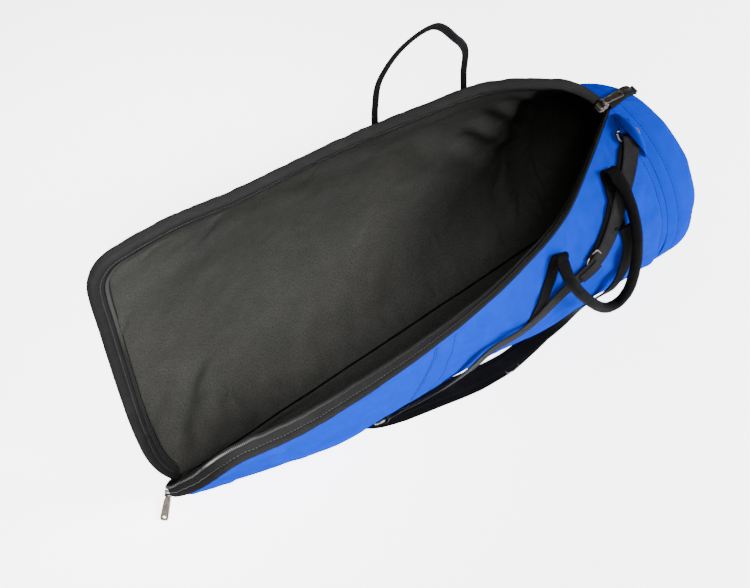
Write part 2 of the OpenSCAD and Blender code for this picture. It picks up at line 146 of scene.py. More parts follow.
def soften(A, sigma):
    """gaussian smoothing along axis 0, ends kept"""
    r = int(3 * sigma) + 1
    k = np.exp(-0.5 * (np.arange(-r, r + 1) / sigma) ** 2)
    k /= k.sum()
    pad = np.concatenate([2 * A[:1] - A[r:0:-1], A, 2 * A[-1:] - A[-2:-r - 2:-1]])
    return np.stack([np.convolve(pad[:, c], k, "valid") for c in range(A.shape[1])], 1)


_LAT = {}


def noise2(u, v, seed):
    g = _LAT.setdefault(seed, np.random.default_rng(seed).uniform(-1, 1, (64, 64)))
    iu, iv = np.floor(u).astype(int), np.floor(v).astype(int)
    fu, fv = u - iu, v - iv
    fu, fv = fu**3 * (fu * (fu * 6 - 15) + 10), fv**3 * (fv * (fv * 6 - 15) + 10)
    a, b = g[iu % 64, iv % 64], g[(iu + 1) % 64, iv % 64]
    c, d = g[iu % 64, (iv + 1) % 64], g[(iu + 1) % 64, (iv + 1) % 64]
    return (a * (1 - fu) + b * fu) * (1 - fv) + (c * (1 - fu) + d * fu) * fv


def fbm(u, v, seed, octaves=4, gain=0.5):
    out, amp = 0, 1.0
    for k in range(octaves):
        out = out + amp * noise2(u * 2**k + 3.7 * k, v * 2**k + 1.3 * k, seed + k)
        amp *= gain
    return out


def ridge(S, A, pts, width, height, fade=0.25):
    """a fold along a polyline in (s, arc) space, mm; height > 0 stands out of the surface"""
    pts = np.asarray(pts, float)
    d = arc(pts)
    best, along = np.full(S.shape, 1e9), np.zeros(S.shape)
    for i in range(len(pts) - 1):
        a, b = pts[i], pts[i + 1]
        ab = b - a
        u = np.clip(((S - a[0]) * ab[0] + (A - a[1]) * ab[1]) / (ab @ ab), 0, 1)
        q = np.hypot(S - a[0] - u * ab[0], A - a[1] - u * ab[1])
        m = q < best
        best = np.where(m, q, best)
        along = np.where(m, (d[i] + u * (d[i + 1] - d[i])) / d[-1], along)
    win = np.clip(along / fade, 0, 1) * np.clip((1 - along) / fade, 0, 1)
    win = win * win * (3 - 2 * win)
    return height * win * (np.exp(-((best / width) ** 2)) - 0.45 * np.exp(-(((best - 1.9 * width) / (1.1 * width)) ** 2)))


# ------------------------------------------------------------------ materials
def links(mat):
    return mat.node_tree.nodes, mat.node_tree.links


class Nodes:
    def __init__(self, name):
        self.mat = bpy.data.materials.new(name)
        self.mat.use_nodes = True
        self.n, self.l = self.mat.node_tree.nodes, self.mat.node_tree.links
        self.b = self.n["Principled BSDF"]

    def new(self, kind, **kw):
        node = self.n.new(kind)
        for k, v in kw.items():
            setattr(node, k, v)
        return node

    def set(self, node, **kw):
        for k, v in kw.items():
            node.inputs[k.replace("_", " ")].default_value = v
        return node

    def link(self, a, b):
        self.l.new(a, b)

    def math(self, op, a, b=None, c=None):
        m = self.new("ShaderNodeMath", operation=op)
        for i, x in enumerate((a, b, c)):
            if x is None:
                continue
            if isinstance(x, (int, float)):
                m.inputs[i].default_value = x
            else:
                self.link(x, m.inputs[i])
        return m.outputs[0]

    def ramp(self, fac, stops, interp="LINEAR"):
        r = self.new("ShaderNodeValToRGB")
        r.color_ramp.interpolation = interp
        e = r.color_ramp.elements
        while len(e) < len(stops):
            e.new(0.5)
        for i, (p, c) in enumerate(stops):
            e[i].position = p
            e[i].color = (*c, 1) if len(c) == 3 else c
        self.link(fac, r.inputs[0])
        return r.outputs[0]

    def mix(self, fac, a, b, blend="MIX"):
        m = self.new("ShaderNodeMix", data_type="RGBA", blend_type=blend)
        for sock, x in ((m.inputs[0], fac), (m.inputs[6], a), (m.inputs[7], b)):
            if isinstance(x, (int, float)):
                sock.default_value = x
            elif isinstance(x, tuple):
                sock.default_value = (*x, 1)
            else:
                self.link(x, sock)
        return m.outputs[2]

    def noise(self, vec, scale, detail=3, rough=0.5):
        t = self.new("ShaderNodeTexNoise")
        t.inputs["Scale"].default_value = scale
        t.inputs["Detail"].default_value = detail
        t.inputs["Roughness"].default_value = rough
        self.link(vec, t.inputs["Vector"])
        return t.outputs["Fac"]

    def uv(self, su=1.0, sv=1.0, name="UVMap"):
        u = self.new("ShaderNodeUVMap", uv_map=name)
        m = self.new("ShaderNodeMapping")
        m.inputs["Scale"].default_value = (su, sv, 1)
        self.link(u.outputs[0], m.inputs["Vector"])
        return m.outputs[0]

    def obj(self):
        return self.new("ShaderNodeTexCoord").outputs["Object"]

    def bump(self, height, strength, dist, prev=None):
        b = self.new("ShaderNodeBump")
        b.inputs["Strength"].default_value = strength
        b.inputs["Distance"].default_value = dist
        self.link(height, b.inputs["Height"])
        if prev is not None:
            self.link(prev, b.inputs["Normal"])
        return b.outputs[0]

    def weave(self, pu, pv):
        """plain weave, thread pitch pu, pv in metres; returns a height"""
        sep = self.new("ShaderNodeSeparateXYZ")
        self.link(self.uv(), sep.inputs[0])
        a = self.math("SINE", self.math("MULTIPLY", sep.outputs[0], math.pi / pu))
        b = self.math("SINE", self.math("MULTIPLY", sep.outputs[1], math.pi / pv))
        return self.math("MULTIPLY_ADD", self.math("MULTIPLY", a, b), 0.5, 0.5)


def cloth(name, lo, hi, pitch, rough, weave_depth, mottle=0.5, sheen=0.1, slub=0.4, spec=0.3, tint=None, speck=0.0):
    n = Nodes(name)
    uv = n.uv()
    w = n.weave(pitch, pitch * 1.06)
    slub_u = n.noise(n.uv(18 / 0.1, 900 * 0.9), 1.0, 2)
    slub_v = n.noise(n.uv(900 * 0.9, 18 / 0.1), 1.0, 2)
    big = n.noise(n.obj(), 7.0, 4, 0.6)
    mid = n.noise(n.obj(), 60.0, 3, 0.55)
    sl = n.math("MULTIPLY", n.math("ADD", slub_u, slub_v), 0.5)
    base = n.mix(n.math("MULTIPLY", sl, slub), lo, hi)
    base = n.mix(n.math("MULTIPLY", n.ramp(big, [(0.35, (0, 0, 0)), (0.7, (1, 1, 1))]), mottle), base, tint or hi)
    thread = n.ramp(w, [(0.0, (0.80, 0.80, 0.80)), (0.6, (1.0, 1.0, 1.0)), (1.0, (1.08, 1.08, 1.08))])
    base = n.mix(1.0, base, thread, "MULTIPLY")
    base = n.mix(1.0, base, n.ramp(mid, [(0.3, (0.93, 0.93, 0.93)), (0.7, (1.05, 1.05, 1.05))]), "MULTIPLY")
    if speck:
        grain = n.noise(n.uv(1, 1), 420.0, 3, 0.7)
        base = n.mix(1.0, base, n.ramp(grain, [(0.36, (1 - speck,) * 3), (0.64, (1 + speck,) * 3)]), "MULTIPLY")
    n.link(base, n.b.inputs["Base Color"])
    r = n.math("MULTIPLY_ADD", big, 0.16, rough - 0.08)
    n.link(n.math("MULTIPLY_ADD", w, -0.06, r), n.b.inputs["Roughness"])
    nb = n.bump(w, 0.55, weave_depth)
    nb = n.bump(sl, 0.35, 0.0004, nb)
    nb = n.bump(mid, 0.25, 0.0008, nb)
    n.link(nb, n.b.inputs["Normal"])
    n.b.inputs["Specular IOR Level"].default_value = spec
    n.b.inputs["Sheen Weight"].default_value = sheen
    n.b.inputs["Sheen Roughness"].default_value = 0.45
    return n.mat


def webbing_mat(name, lo, hi, rough=0.62):
    """ribbed webbing: fine ribs across, broad columns along, lighter dusty patches at random. UV u along, v across"""
    n = Nodes(name)
    sep = n.new("ShaderNodeSeparateXYZ")
    n.link(n.uv(), sep.inputs[0])
    u, v = sep.outputs[0], sep.outputs[1]
    col = n.math("SINE", n.math("MULTIPLY", v, 2 * math.pi / 0.0030))
    zig = n.math("MULTIPLY", n.math("SIGN", col), 0.0006)
    rib = n.math("SINE", n.math("MULTIPLY", n.math("ADD", u, zig), 2 * math.pi / 0.0017))
    h = n.math("ADD", n.math("MULTIPLY", rib, 0.5), n.math("MULTIPLY", n.math("ABSOLUTE", col), 0.6))
    fuzz = n.noise(n.obj(), 900, 2)
    dust = n.noise(n.obj(), 26, 4, 0.6)
    base = n.mix(n.ramp(h, [(0.0, (0, 0, 0)), (1.0, (1, 1, 1))]), lo, hi)
    base = n.mix(n.math("MULTIPLY", n.ramp(dust, [(0.45, (0, 0, 0)), (0.8, (1, 1, 1))]), 0.35), base, tuple(min(1, c * 1.6 + 0.002) for c in hi))
    n.link(base, n.b.inputs["Base Color"])
    n.link(n.math("MULTIPLY_ADD", fuzz, 0.2, rough - 0.1), n.b.inputs["Roughness"])
    nb = n.bump(h, 0.7, 0.0005)
    nb = n.bump(fuzz, 0.3, 0.0003, nb)
    n.link(nb, n.b.inputs["Normal"])
    n.b.inputs["Specular IOR Level"].default_value = 0.012
    return n.mat


def tape_mat(name, lo, hi):
    """zip tape: fine twill with ribs along"""
    n = Nodes(name)
    sep = n.new("ShaderNodeSeparateXYZ")
    n.link(n.uv(), sep.inputs[0])
    u, v = sep.outputs[0], sep.outputs[1]
    twill = n.math("SINE", n.math("MULTIPLY", n.math("ADD", u, n.math("MULTIPLY", v, 0.8)), 2 * math.pi / 0.0011))
    rib = n.math("SINE", n.math("MULTIPLY", v, 2 * math.pi / 0.0021))
    h = n.math("ADD", n.math("MULTIPLY", twill, 0.5), n.math("MULTIPLY", rib, 0.45))
    dust = n.noise(n.obj(), 34, 4, 0.65)
    base = n.mix(n.ramp(h, [(0.0, (0, 0, 0)), (1.0, (1, 1, 1))]), lo, hi)
    base = n.mix(n.math("MULTIPLY", n.ramp(dust, [(0.5, (0, 0, 0)), (0.8, (1, 1, 1))]), 0.3), base, (0.024, 0.0218, 0.0200))
    n.link(base, n.b.inputs["Base Color"])
    n.link(n.math("MULTIPLY_ADD", dust, 0.2, 0.55), n.b.inputs["Roughness"])
    n.link(n.bump(n.noise(n.obj(), 240, 2), 0.35, 0.0007, n.bump(h, 0.6, 0.0004)), n.b.inputs["Normal"])
    n.b.inputs["Specular IOR Level"].default_value = 0.0
    return n.mat


def metal_mat(name, lo, hi, rough):
    n = Nodes(name)
    o = n.obj()
    big = n.noise(o, 160, 4, 0.6)
    m = n.new("ShaderNodeMapping")
    m.inputs["Scale"].default_value = (300, 2400, 2400)
    n.link(o, m.inputs["Vector"])
    scratch = n.noise(m.outputs[0], 1.0, 2)
    dull = n.ramp(big, [(0.35, (0, 0, 0)), (0.72, (1, 1, 1))])
    n.link(n.mix(dull, hi, lo), n.b.inputs["Base Color"])
    n.b.inputs["Metallic"].default_value = 1.0
    n.link(n.math("MULTIPLY_ADD", big, 0.28, n.math("MULTIPLY_ADD", scratch, 0.12, rough - 0.16)), n.b.inputs["Roughness"])
    n.link(n.bump(scratch, 0.18, 0.00006, n.bump(big, 0.25, 0.00012)), n.b.inputs["Normal"])
    return n.mat


def plastic_mat(name, lo, hi, rough):
    n = Nodes(name)
    f = n.noise(n.obj(), 500, 3)
    n.link(n.mix(f, lo, hi), n.b.inputs["Base Color"])
    n.link(n.math("MULTIPLY_ADD", f, 0.2, rough - 0.1), n.b.inputs["Roughness"])
    n.link(n.bump(f, 0.2, 0.0001), n.b.inputs["Normal"])
    return n.mat


def coil_mat(name, highlight_strength):
    """nylon coil, with a painted highlight: base colour lighter toward the mouth of the case"""
    n = Nodes(name)
    o = n.obj()
    f = n.noise(o, 500, 3)
    sep = n.new("ShaderNodeSeparateXYZ")
    n.link(o, sep.inputs[0])
    # painted highlight: a bright band in the base colour near the mouth end, fading along x
    painted_highlight = n.ramp(n.math("MULTIPLY_ADD", sep.outputs[0], 1.25, 0.5), [(0.078, (0, 0, 0)), (0.092, (1, 1, 1)), (0.125, (0.55, 0.55, 0.55)), (0.165, (0.26, 0.26, 0.26)), (0.30, (0.10, 0.10, 0.10)), (0.6, (0.0, 0.0, 0.0))])
    dark = n.mix(f, (0.005, 0.005, 0.005), (0.012, 0.012, 0.0115))
    n.link(n.mix(n.math("MULTIPLY", painted_highlight, highlight_strength), dark, (0.17, 0.165, 0.16)), n.b.inputs["Base Color"])
    n.link(n.math("MULTIPLY_ADD", f, 0.2, 0.28), n.b.inputs["Roughness"])
    n.link(n.bump(f, 0.2, 0.0001), n.b.inputs["Normal"])
    n.b.inputs["Specular IOR Level"].default_value = 0.04
    return n.mat


def thread_mat(name, lo, hi):
    n = Nodes(name)
    f = n.noise(n.obj(), 1400, 2)
    n.link(n.mix(f, lo, hi), n.b.inputs["Base Color"])
    n.link(n.bump(f, 0.5, 0.0002), n.b.inputs["Normal"])
    n.link(n.math("MULTIPLY_ADD", f, 0.2, 0.5), n.b.inputs["Roughness"])
    n.b.inputs["Specular IOR Level"].default_value = 0.06
    return n.mat


M_BLUE = cloth("blue_weave", (0.0007, 0.0195, 0.280), (0.0011, 0.0262, 0.360), 0.00075, 0.72, 0.00026, 0.35, 0.0, 0.8, 0.0)
M_LINING = cloth("lining_weave", (0.013, 0.0132, 0.0126), (0.033, 0.033, 0.031), 0.0013, 0.78, 0.00055, 0.5, 0.0, 0.9, 0.02, (0.030, 0.0295, 0.0255), 0.32)
M_TAPE = tape_mat("zip_tape_twill", (0.0082, 0.0082, 0.0086), (0.0235, 0.0232, 0.0232))
# one webbing in three brightnesses: M_WEB, M_WEB3 darker, M_WEB2 darkest; on the far handle and the strap's return and
# lower runs the extra darkness is painted shade
M_WEB = webbing_mat("webbing_rib", (0.0056, 0.0056, 0.0060), (0.0175, 0.0175, 0.0184))
M_WEB3 = webbing_mat("webbing_rib_painted_half_shade", (0.0024, 0.0024, 0.0026), (0.0072, 0.0072, 0.0077))
M_WEB2 = webbing_mat("webbing_rib_dark_painted_shade", (0.0016, 0.0016, 0.0018), (0.0046, 0.0046, 0.0050))
# the near coil's material carries the full painted highlight, M_COIL a tenth of it
M_COIL = coil_mat("coil_nylon", 0.10)
M_COIL_HIGHLIT = coil_mat("coil_nylon_painted_highlight", 1.0)
M_METAL = metal_mat("nickel_plate", (0.085, 0.072, 0.060), (0.19, 0.172, 0.150), 0.36)
M_DARKMETAL = metal_mat("dark_plate", (0.03, 0.028, 0.025), (0.075, 0.07, 0.064), 0.42)
# pulls: a darker copy of the nickel; its darkness is painted shade
M_PULL = metal_mat("nickel_painted_shade", (0.040, 0.033, 0.027), (0.115, 0.100, 0.084), 0.34)
M_THREAD = thread_mat("black_thread", (0.004, 0.004, 0.0045), (0.011, 0.011, 0.011))
M_GREY = thread_mat("grey_thread", (0.024, 0.0235, 0.022), (0.054, 0.052, 0.049))
M_NAVY = thread_mat("navy_thread", (0.0012, 0.0024, 0.010), (0.0026, 0.005, 0.022))


# ------------------------------------------------------------------ mesh helpers
def add_mesh(name, verts_mm, faces, mat, uv=None, smooth_on=True):
    me = bpy.data.meshes.new(name)
    me.from_pydata((np.asarray(verts_mm, float) * 0.001).tolist(), [], faces)
    if uv is not None:
        lay = me.uv_layers.new(name="UVMap")
        idx = np.empty(len(me.loops), np.int32)
        me.loops.foreach_get("vertex_index", idx)
        lay.data.foreach_set("uv", (np.asarray(uv, float) * 0.001)[idx].astype(np.float32).ravel())
    me.polygons.foreach_set("use_smooth", np.full(len(me.polygons), smooth_on))
    me.materials.append(mat)
    me.update()
    o = bpy.data.objects.new(name, me)
    SCN.collection.objects.link(o)
    return o


def grid_faces(n, m, wrap=False, flip=False, base=0):
    out = []
    for i in range(n - 1):
        for j in range(m if wrap else m - 1):
            a, b = base + i * m + j, base + i * m + (j + 1) % m
            c, d = b + m, a + m
            out.append((a, d, c, b) if flip else (a, b, c, d))
    return out


def grid_object(name, P, mat, uv=None, wrap=False, flip=False, caps=False):
    n, m = P.shape[:2]
    if uv is None:
        du = np.zeros((n, m))
        dv = np.zeros((n, m))
        du[1:] = np.cumsum(np.linalg.norm(np.diff(P, axis=0), axis=2), 0)
        dv[:, 1:] = np.cumsum(np.linalg.norm(np.diff(P, axis=1), axis=2), 1)
        du[:] = du.mean(1, keepdims=True)
        uv = np.stack([du, dv], -1)
    f = grid_faces(n, m, wrap, flip)
    if caps:
        a, b = list(range(m)), list(range((n - 1) * m, n * m))
        f.append(tuple(a if flip else a[::-1]))
        f.append(tuple(b[::-1] if flip else b))
    return add_mesh(name, P.reshape(-1, 3), f, mat, uv.reshape(-1, 2))


def join_arrays(parts):
    V, F, base = [], [], 0
    for v, f in parts:
        V.append(v)
        F += [tuple(i + base for i in q) for q in f]
        base += len(v)
    return np.concatenate(V), F


def frames_along(P, W):
    """tangent, width direction, thickness direction along a path"""
    d = tangents(P)
    w = unit(W - d * (W * d).sum(1, keepdims=True))
    return d, w, unit(np.cross(d, w))


def ribbon(name, P, W, width, thick, mat, crown=0.25, wave=0.35, seed=3, flip=False):
    """flat webbing: rounded woven edges, a slight crown, small waves along its edges"""
    d, w, u = frames_along(P, W)
    ln = arc(P)
    hw, ht = width / 2, thick / 2
    prof = []
    for a in np.linspace(-1, 1, 9):
        prof.append((a * (hw - ht * 0.8), ht * (1 + crown * (1 - a * a)) + 0.12 * ht * math.cos(9 * a)))
    for a in (50, 0, -50):
        prof.append((hw - ht * 0.8 + ht * 0.95 * math.cos(math.radians(a)), ht * 0.95 * math.sin(math.radians(a))))
    for a in np.linspace(1, -1, 9):
        prof.append((a * (hw - ht * 0.8), -ht * (1 + crown * (1 - a * a)) - 0.12 * ht * math.cos(9 * a)))
    for a in (230, 180, 130):
        prof.append((-(hw - ht * 0.8) + ht * 0.95 * math.cos(math.radians(a)), ht * 0.95 * math.sin(math.radians(a))))
    prof = np.array(prof)
    ph = ln / 34.0
    edge = np.stack([noise2(ph, np.zeros_like(ph) + 0.3, seed), noise2(ph, np.zeros_like(ph) + 7.3, seed + 1)], 1) * wave
    win = np.clip(np.minimum(ln, ln[-1] - ln) / 15, 0, 1)[:, None]
    k = prof[:, 0] / hw
    off = (edge[:, :1] * np.clip(-k, 0, 1)[None] + edge[:, 1:] * np.clip(k, 0, 1)[None]) * win
    V = P[:, None] + w[:, None] * prof[None, :, :1] + u[:, None] * (prof[None, :, 1:] + off[..., None])
    pd = np.concatenate([[0], np.cumsum(np.linalg.norm(np.diff(prof, axis=0), axis=1))])
    uv = np.stack(np.broadcast_arrays(ln[:, None], pd[None]), -1)
    return grid_object(name, V, mat, uv, wrap=True, flip=not flip, caps=True)


def tube(name, P, r, mat, k=12, closed=False, up=None):
    n = len(P)
    if closed:
        d = unit(np.roll(P, -1, 0) - np.roll(P, 1, 0))
    else:
        d = tangents(P)
    a = np.empty_like(P)
    ref = np.array([0, 0, 1.0]) if abs(d[0][2]) < 0.9 else np.array([0, 1.0, 0])
    a[0] = unit(np.cross(d[0], ref))
    for i in range(1, n):
        a[i] = unit(a[i - 1] - d[i] * (a[i - 1] @ d[i]))
    b = np.cross(d, a)
    th = np.linspace(0, 2 * math.pi, k, endpoint=False)
    V = P[:, None] + (a[:, None] * np.cos(th)[None, :, None] + b[:, None] * np.sin(th)[None, :, None]) * np.asarray(r, float).reshape(-1, 1, 1)
    f = grid_faces(n, k, True, True)
    if closed:
        f += [((n - 1) * k + j, j, (j + 1) % k, (n - 1) * k + (j + 1) % k)[::-1] for j in range(k)]
        f[-k:] = [tuple(q) for q in f[-k:]]
    else:
        f.append(tuple(range(k)))
        f.append(tuple(range(n * k - 1, (n - 1) * k - 1, -1)))
    return V.reshape(-1, 3), f


def capsule_set(C, D, Nn, length, width, height):
    """many small rounded bars (stitches, coil teeth): centres C, long axis D, up Nn"""
    D = unit(D)
    Nn = unit(Nn - D * (Nn * D).sum(1, keepdims=True))
    B = np.cross(Nn, D)
    sec = [(-0.5, 0.35), (-0.36, 0.8), (0, 1.0), (0.36, 0.8), (0.5, 0.35)]
    ring = [(math.cos(a), math.sin(a)) for a in np.radians([0, 60, 120, 180, 240, 300])]
    k, m = len(sec), len(ring)
    V = np.empty((len(C), k * m, 3))
    for i, (x, r) in enumerate(sec):
        for j, (cy, cz) in enumerate(ring):
            V[:, i * m + j] = C + D * (x * length) + B * (cy * r * width / 2) + Nn * (cz * r * height / 2)
    f1 = grid_faces(k, m, True, True) + [tuple(range(m)), tuple(range(k * m - 1, (k - 1) * m - 1, -1))]
    F = [tuple(q + i * k * m for q in f) for i in range(len(C)) for f in f1]
    return V.reshape(-1, 3), F


def stitches(P, Nn, length=3.2, gap=1.3, width=0.75, height=0.7, lift_by=0.1):
    """a row of stitches along a path lying on a surface with normals Nn"""
    ln = arc(P)
    n = int(ln[-1] / (length + gap))
    if n < 1:
        return np.zeros((0, 3)), []
    q = (np.arange(n) + 0.5) * (ln[-1] / n)
    at = lambda X, x: np.stack([np.interp(x, ln, X[:, k]) for k in range(3)], 1)
    C, N2 = at(P, q), unit(at(Nn, q))
    D = at(P, np.minimum(q + 0.5, ln[-1])) - at(P, np.maximum(q - 0.5, 0))
    return capsule_set(C + N2 * lift_by, D, N2, length, width, height)


def stitch_object(name, rows, mat):
    V, F = join_arrays([r for r in rows if len(r[0])])
    return add_mesh(name, V, F, mat)


def place(o, body, slot, *nodes):
    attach(o, body)
    if nodes:
        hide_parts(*nodes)
    return o


def bend(o, slot, *nodes):
    """the far side: bakes the object's transform into its mesh and hides the given CAD parts"""
    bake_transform(o)
    if nodes:
        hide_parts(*nodes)
    return o


# ------------------------------------------------------------------ cloth: settle a sheet that is cut a little too large
def settle(P, pin, spare, pressure, frames=20):
    """P (n, m, 3) mm, pin (n, m) 0..1. Returns the settled points."""
    n, m = P.shape[:2]
    me = bpy.data.meshes.new("settle")
    me.from_pydata((P.reshape(-1, 3) * 0.001).tolist(), [], grid_faces(n, m))
    o = bpy.data.objects.new("settle", me)
    SCN.collection.objects.link(o)
    g = o.vertex_groups.new(name="pin")
    for i, w in enumerate(pin.ravel()):
        if w > 0:
            g.add([i], float(w), "REPLACE")
    c = o.modifiers.new("c", "CLOTH")
    st = c.settings
    st.quality = 6
    st.mass = 0.25
    st.tension_stiffness = st.compression_stiffness = 12
    st.shear_stiffness = 4
    st.bending_stiffness = 0.6
    st.tension_damping = st.compression_damping = 8
    st.shear_damping = 8
    st.bending_damping = 0.8
    st.air_damping = 2
    st.shrink_min = -spare
    st.shrink_max = -spare
    st.vertex_group_mass = "pin"
    st.pin_stiffness = 1.0
    st.use_pressure = True
    st.uniform_pressure_force = pressure
    st.effector_weights.gravity = 0
    c.collision_settings.use_collision = False
    c.point_cache.frame_start, c.point_cache.frame_end = 1, frames + 2
    for f in range(1, frames + 1):
        SCN.frame_set(f)
    ev = o.evaluated_get(bpy.context.evaluated_depsgraph_get())
    co = np.empty(n * m * 3, np.float32)
    ev.data.vertices.foreach_get("co", co)
    bpy.data.objects.remove(o)
    bpy.data.meshes.remove(me)
    SCN.frame_set(1)
    return co.reshape(n, m, 3).astype(float) * 1000


def cubic(A, x):
    """sample rows of A at fractional positions x, Catmull-Rom"""
    n = len(A)
    i = np.clip(np.floor(x).astype(int), 0, n - 2)
    u = (x - i).reshape((-1,) + (1,) * (A.ndim - 1))
    a, b, c, d = A[np.maximum(i - 1, 0)], A[i], A[i + 1], A[np.minimum(i + 2, n - 1)]
    return 0.5 * (2 * b + (c - a) * u + (2 * a - 5 * b + 4 * c - d) * u * u + (3 * b - a - 3 * c + d) * u**3)


class Wall:
    """one face of a padded half, as a fine grid in (s, t) with its own folds"""

    def __init__(self, side, o, outer, n=330, m=170, t1=0.994, s0=2.5, s1=757.0):
        self.side, self.o, self.outer = side, o, outer
        self.s, self.t = np.linspace(s0, s1, n), np.linspace(0, t1, m)
        S, T = np.meshgrid(self.s, self.t, indexing="ij")
        self.S, self.T = S, T
        self.P0 = wall(side, S, T, np.full_like(S, o))
        self.N = inward(side, S, T) * (-1 if outer else 1)
        self.A = np.concatenate([np.zeros((n, 1)), np.cumsum(np.linalg.norm(np.diff(self.P0, axis=1), axis=2), 1)], 1)
        self.d = np.zeros_like(S)
        # folds fade out at the seams: rim, mouth edge, dome seam
        e = np.minimum.reduce([(self.A[:, -1:] - self.A) / 28, (S - s0) / 28, (s1 - S) / 26])
        self.free = np.clip(e, 0, 1) ** 1.0
        self.free = self.free * self.free * (3 - 2 * self.free)

    def simulate(self, spare, pressure, cap_out, cap_in, n=104, m=58):
        i, j = np.linspace(0, len(self.s) - 1, n), np.linspace(0, len(self.t) - 1, m)
        base = cubic(np.moveaxis(cubic(self.P0 + self.N * self.d[..., None], i), 1, 0), j)
        base = np.moveaxis(base, 0, 1)
        nor = unit(np.moveaxis(cubic(np.moveaxis(cubic(self.N, i), 1, 0), j), 0, 1))
        pin = np.zeros((n, m))
        pin[:2] = pin[-2:] = 1
        pin[:, :2] = pin[:, -2:] = 1
        got = settle(base if self.side * (1 if self.outer else -1) > 0 else base, pin, spare, pressure)
        dn = ((got - base) * nor).sum(-1)
        dn = np.where(dn > 0, cap_out * np.tanh(dn / cap_out), cap_in * np.tanh(dn / cap_in))
        dn = np.nan_to_num(dn)
        up = cubic(np.moveaxis(cubic(dn, np.linspace(0, n - 1, len(self.s))), 1, 0), np.linspace(0, m - 1, len(self.t)))
        self.d = self.d + np.moveaxis(up, 0, 1)

    def done(self, floor=0.15):
        k = np.clip(self.A / 16, 0, 1)
        self.d = self.d * k * k * (3 - 2 * k)
        self.P = self.P0 + self.N * self.d[..., None]
        self.P[..., 2] = np.maximum(self.P[..., 2], floor + (0 if self.outer else self.o))
        return self

    def at(self, s, t):
        i = np.clip((np.asarray(s, float) - self.s[0]) / (self.s[1] - self.s[0]), 0, len(self.s) - 1.001)
        j = np.clip((np.asarray(t, float) - self.t[0]) / (self.t[1] - self.t[0]), 0, len(self.t) - 1.001)
        a, b = i.astype(int), j.astype(int)
        u, v = (i - a)[..., None], (j - b)[..., None]
        f = lambda X: (X[a, b] * (1 - u) + X[a + 1, b] * u) * (1 - v) + (X[a, b + 1] * (1 - u) + X[a + 1, b + 1] * u) * v
        return f(self.P), unit(f(self.N))

    def object(self, name, mat):
        flip = (self.side > 0) != self.outer
        uv = np.stack([self.S, self.A + (0 if self.side > 0 else 700)], -1)
        return grid_object(name, self.P, mat, uv, flip=not flip)


# seams across the near half, s at a height t: the double row and the single row
SEAM_T = [0, 0.3, 0.54, 0.63, 0.785, 0.896, 0.985]
SEAM_2 = [288, 300, 312, 315, 324, 336, 338]
SEAM_1 = [318, 334, 347, 352, 364, 372, 375]


def seam(t, row):
    t = np.asarray(t, float)
    tab = np.array([SEAM_T, SEAM_1 if row == 2 else SEAM_2], float).T
    return smooth(tab, np.clip(t, 0, 0.985), 1) + (4.2 if row == 1 else 0)


def groove(d, width, depth):
    return -depth * np.exp(-((d / width) ** 2))


# ------------------------------------------------------------------ outer faces
near_o = Wall(-1, 0, True)
S, T, A = near_o.S, near_o.T, near_o.A
near_o.d += 2.1 * near_o.free * fbm(S / 120, A / 95, 11, 3)
near_o.d += 0.8 * near_o.free * fbm(S / 38, A / 30, 21, 3)
near_o.simulate(0.012, 0.6, 3.0, 1.6)
for row in range(3):
    near_o.d += groove(S - seam(T, row), 2.6, 0.9) + 0.35 * np.exp(-(((S - seam(T, row)) / 8) ** 2)) * fbm(A / 9, S / 60, 41, 2)
# puckers at the pinched mouth corner, and pull lines below the handles
for k, (s0, a0, s1, a1, w, h) in enumerate([(4, 175, 60, 235, 6, 2.4), (5, 205, 70, 270, 5, 2.0), (4, 150, 52, 190, 5, 1.8), (8, 240, 80, 310, 7, 1.8),
                                           (470, 330, 560, 250, 16, 1.8), (520, 330, 610, 240, 14, 1.6), (640, 380, 720, 300, 14, 1.8), (690, 330, 750, 210, 12, 1.8),
                                           (560, 300, 640, 200, 16, 1.4), (600, 350, 690, 260, 12, 1.5), (380, 330, 480, 270, 18, 1.4)]):
    near_o.d += ridge(S, A, [(s0, a0), ((s0 + s1) / 2 + 6, (a0 + a1) / 2), (s1, a1)], w, 1.4 * h)
near_o.d += groove(S - 747, 2.6, 1.0)
near_o.d += 8.5 * np.exp(-(((S - 562) / 50) ** 2) - ((T - 0.47) / 0.17) ** 2)
near_o.done()

far_o = Wall(1, 0, True)
S, T, A = far_o.S, far_o.T, far_o.A
far_o.d += 2.1 * far_o.free * fbm(S / 115 + 5, A / 90 + 2, 13, 3)
far_o.d += 0.8 * far_o.free * fbm(S / 36 + 1, A / 30, 23, 3)
far_o.simulate(0.012, 0.6, 3.0, 1.6)
for row in range(3):
    far_o.d += groove(S - seam(T, row), 2.6, 0.9) + 0.35 * np.exp(-(((S - seam(T, row)) / 8) ** 2)) * fbm(A / 9, S / 60, 43, 2)
for k, (s0, a0, s1, a1, w, h) in enumerate([(4, 160, 60, 220, 6, 2.2), (5, 190, 70, 260, 5, 1.8), (430, 380, 520, 300, 16, 1.8), (540, 400, 620, 300, 14, 1.8), (650, 380, 730, 290, 14, 1.8)]):
    far_o.d += ridge(S, A, [(s0, a0), ((s0 + s1) / 2 + 6, (a0 + a1) / 2), (s1, a1)], w, 1.4 * h)
far_o.d += groove(S - 747, 2.6, 1.0)
far_o.done()

# ------------------------------------------------------------------ linings
near_l = Wall(-1, WHOLE, False)
S, T, A = near_l.S, near_l.T, near_l.A
near_l.d += 1.6 * near_l.free * fbm(S / 110 + 9, A / 70, 31, 3)
near_l.simulate(0.016, 0.5, 4.0, 1.2)
for q in ([(10, 60), (140, 20), (300, 12)], [(60, 120), (220, 60), (380, 40)], [(420, 120), (560, 70), (680, 60)], [(120, 250), (260, 200), (420, 190)]):
    near_l.d += ridge(S, A, q, 14, 3.2)
near_l.done()

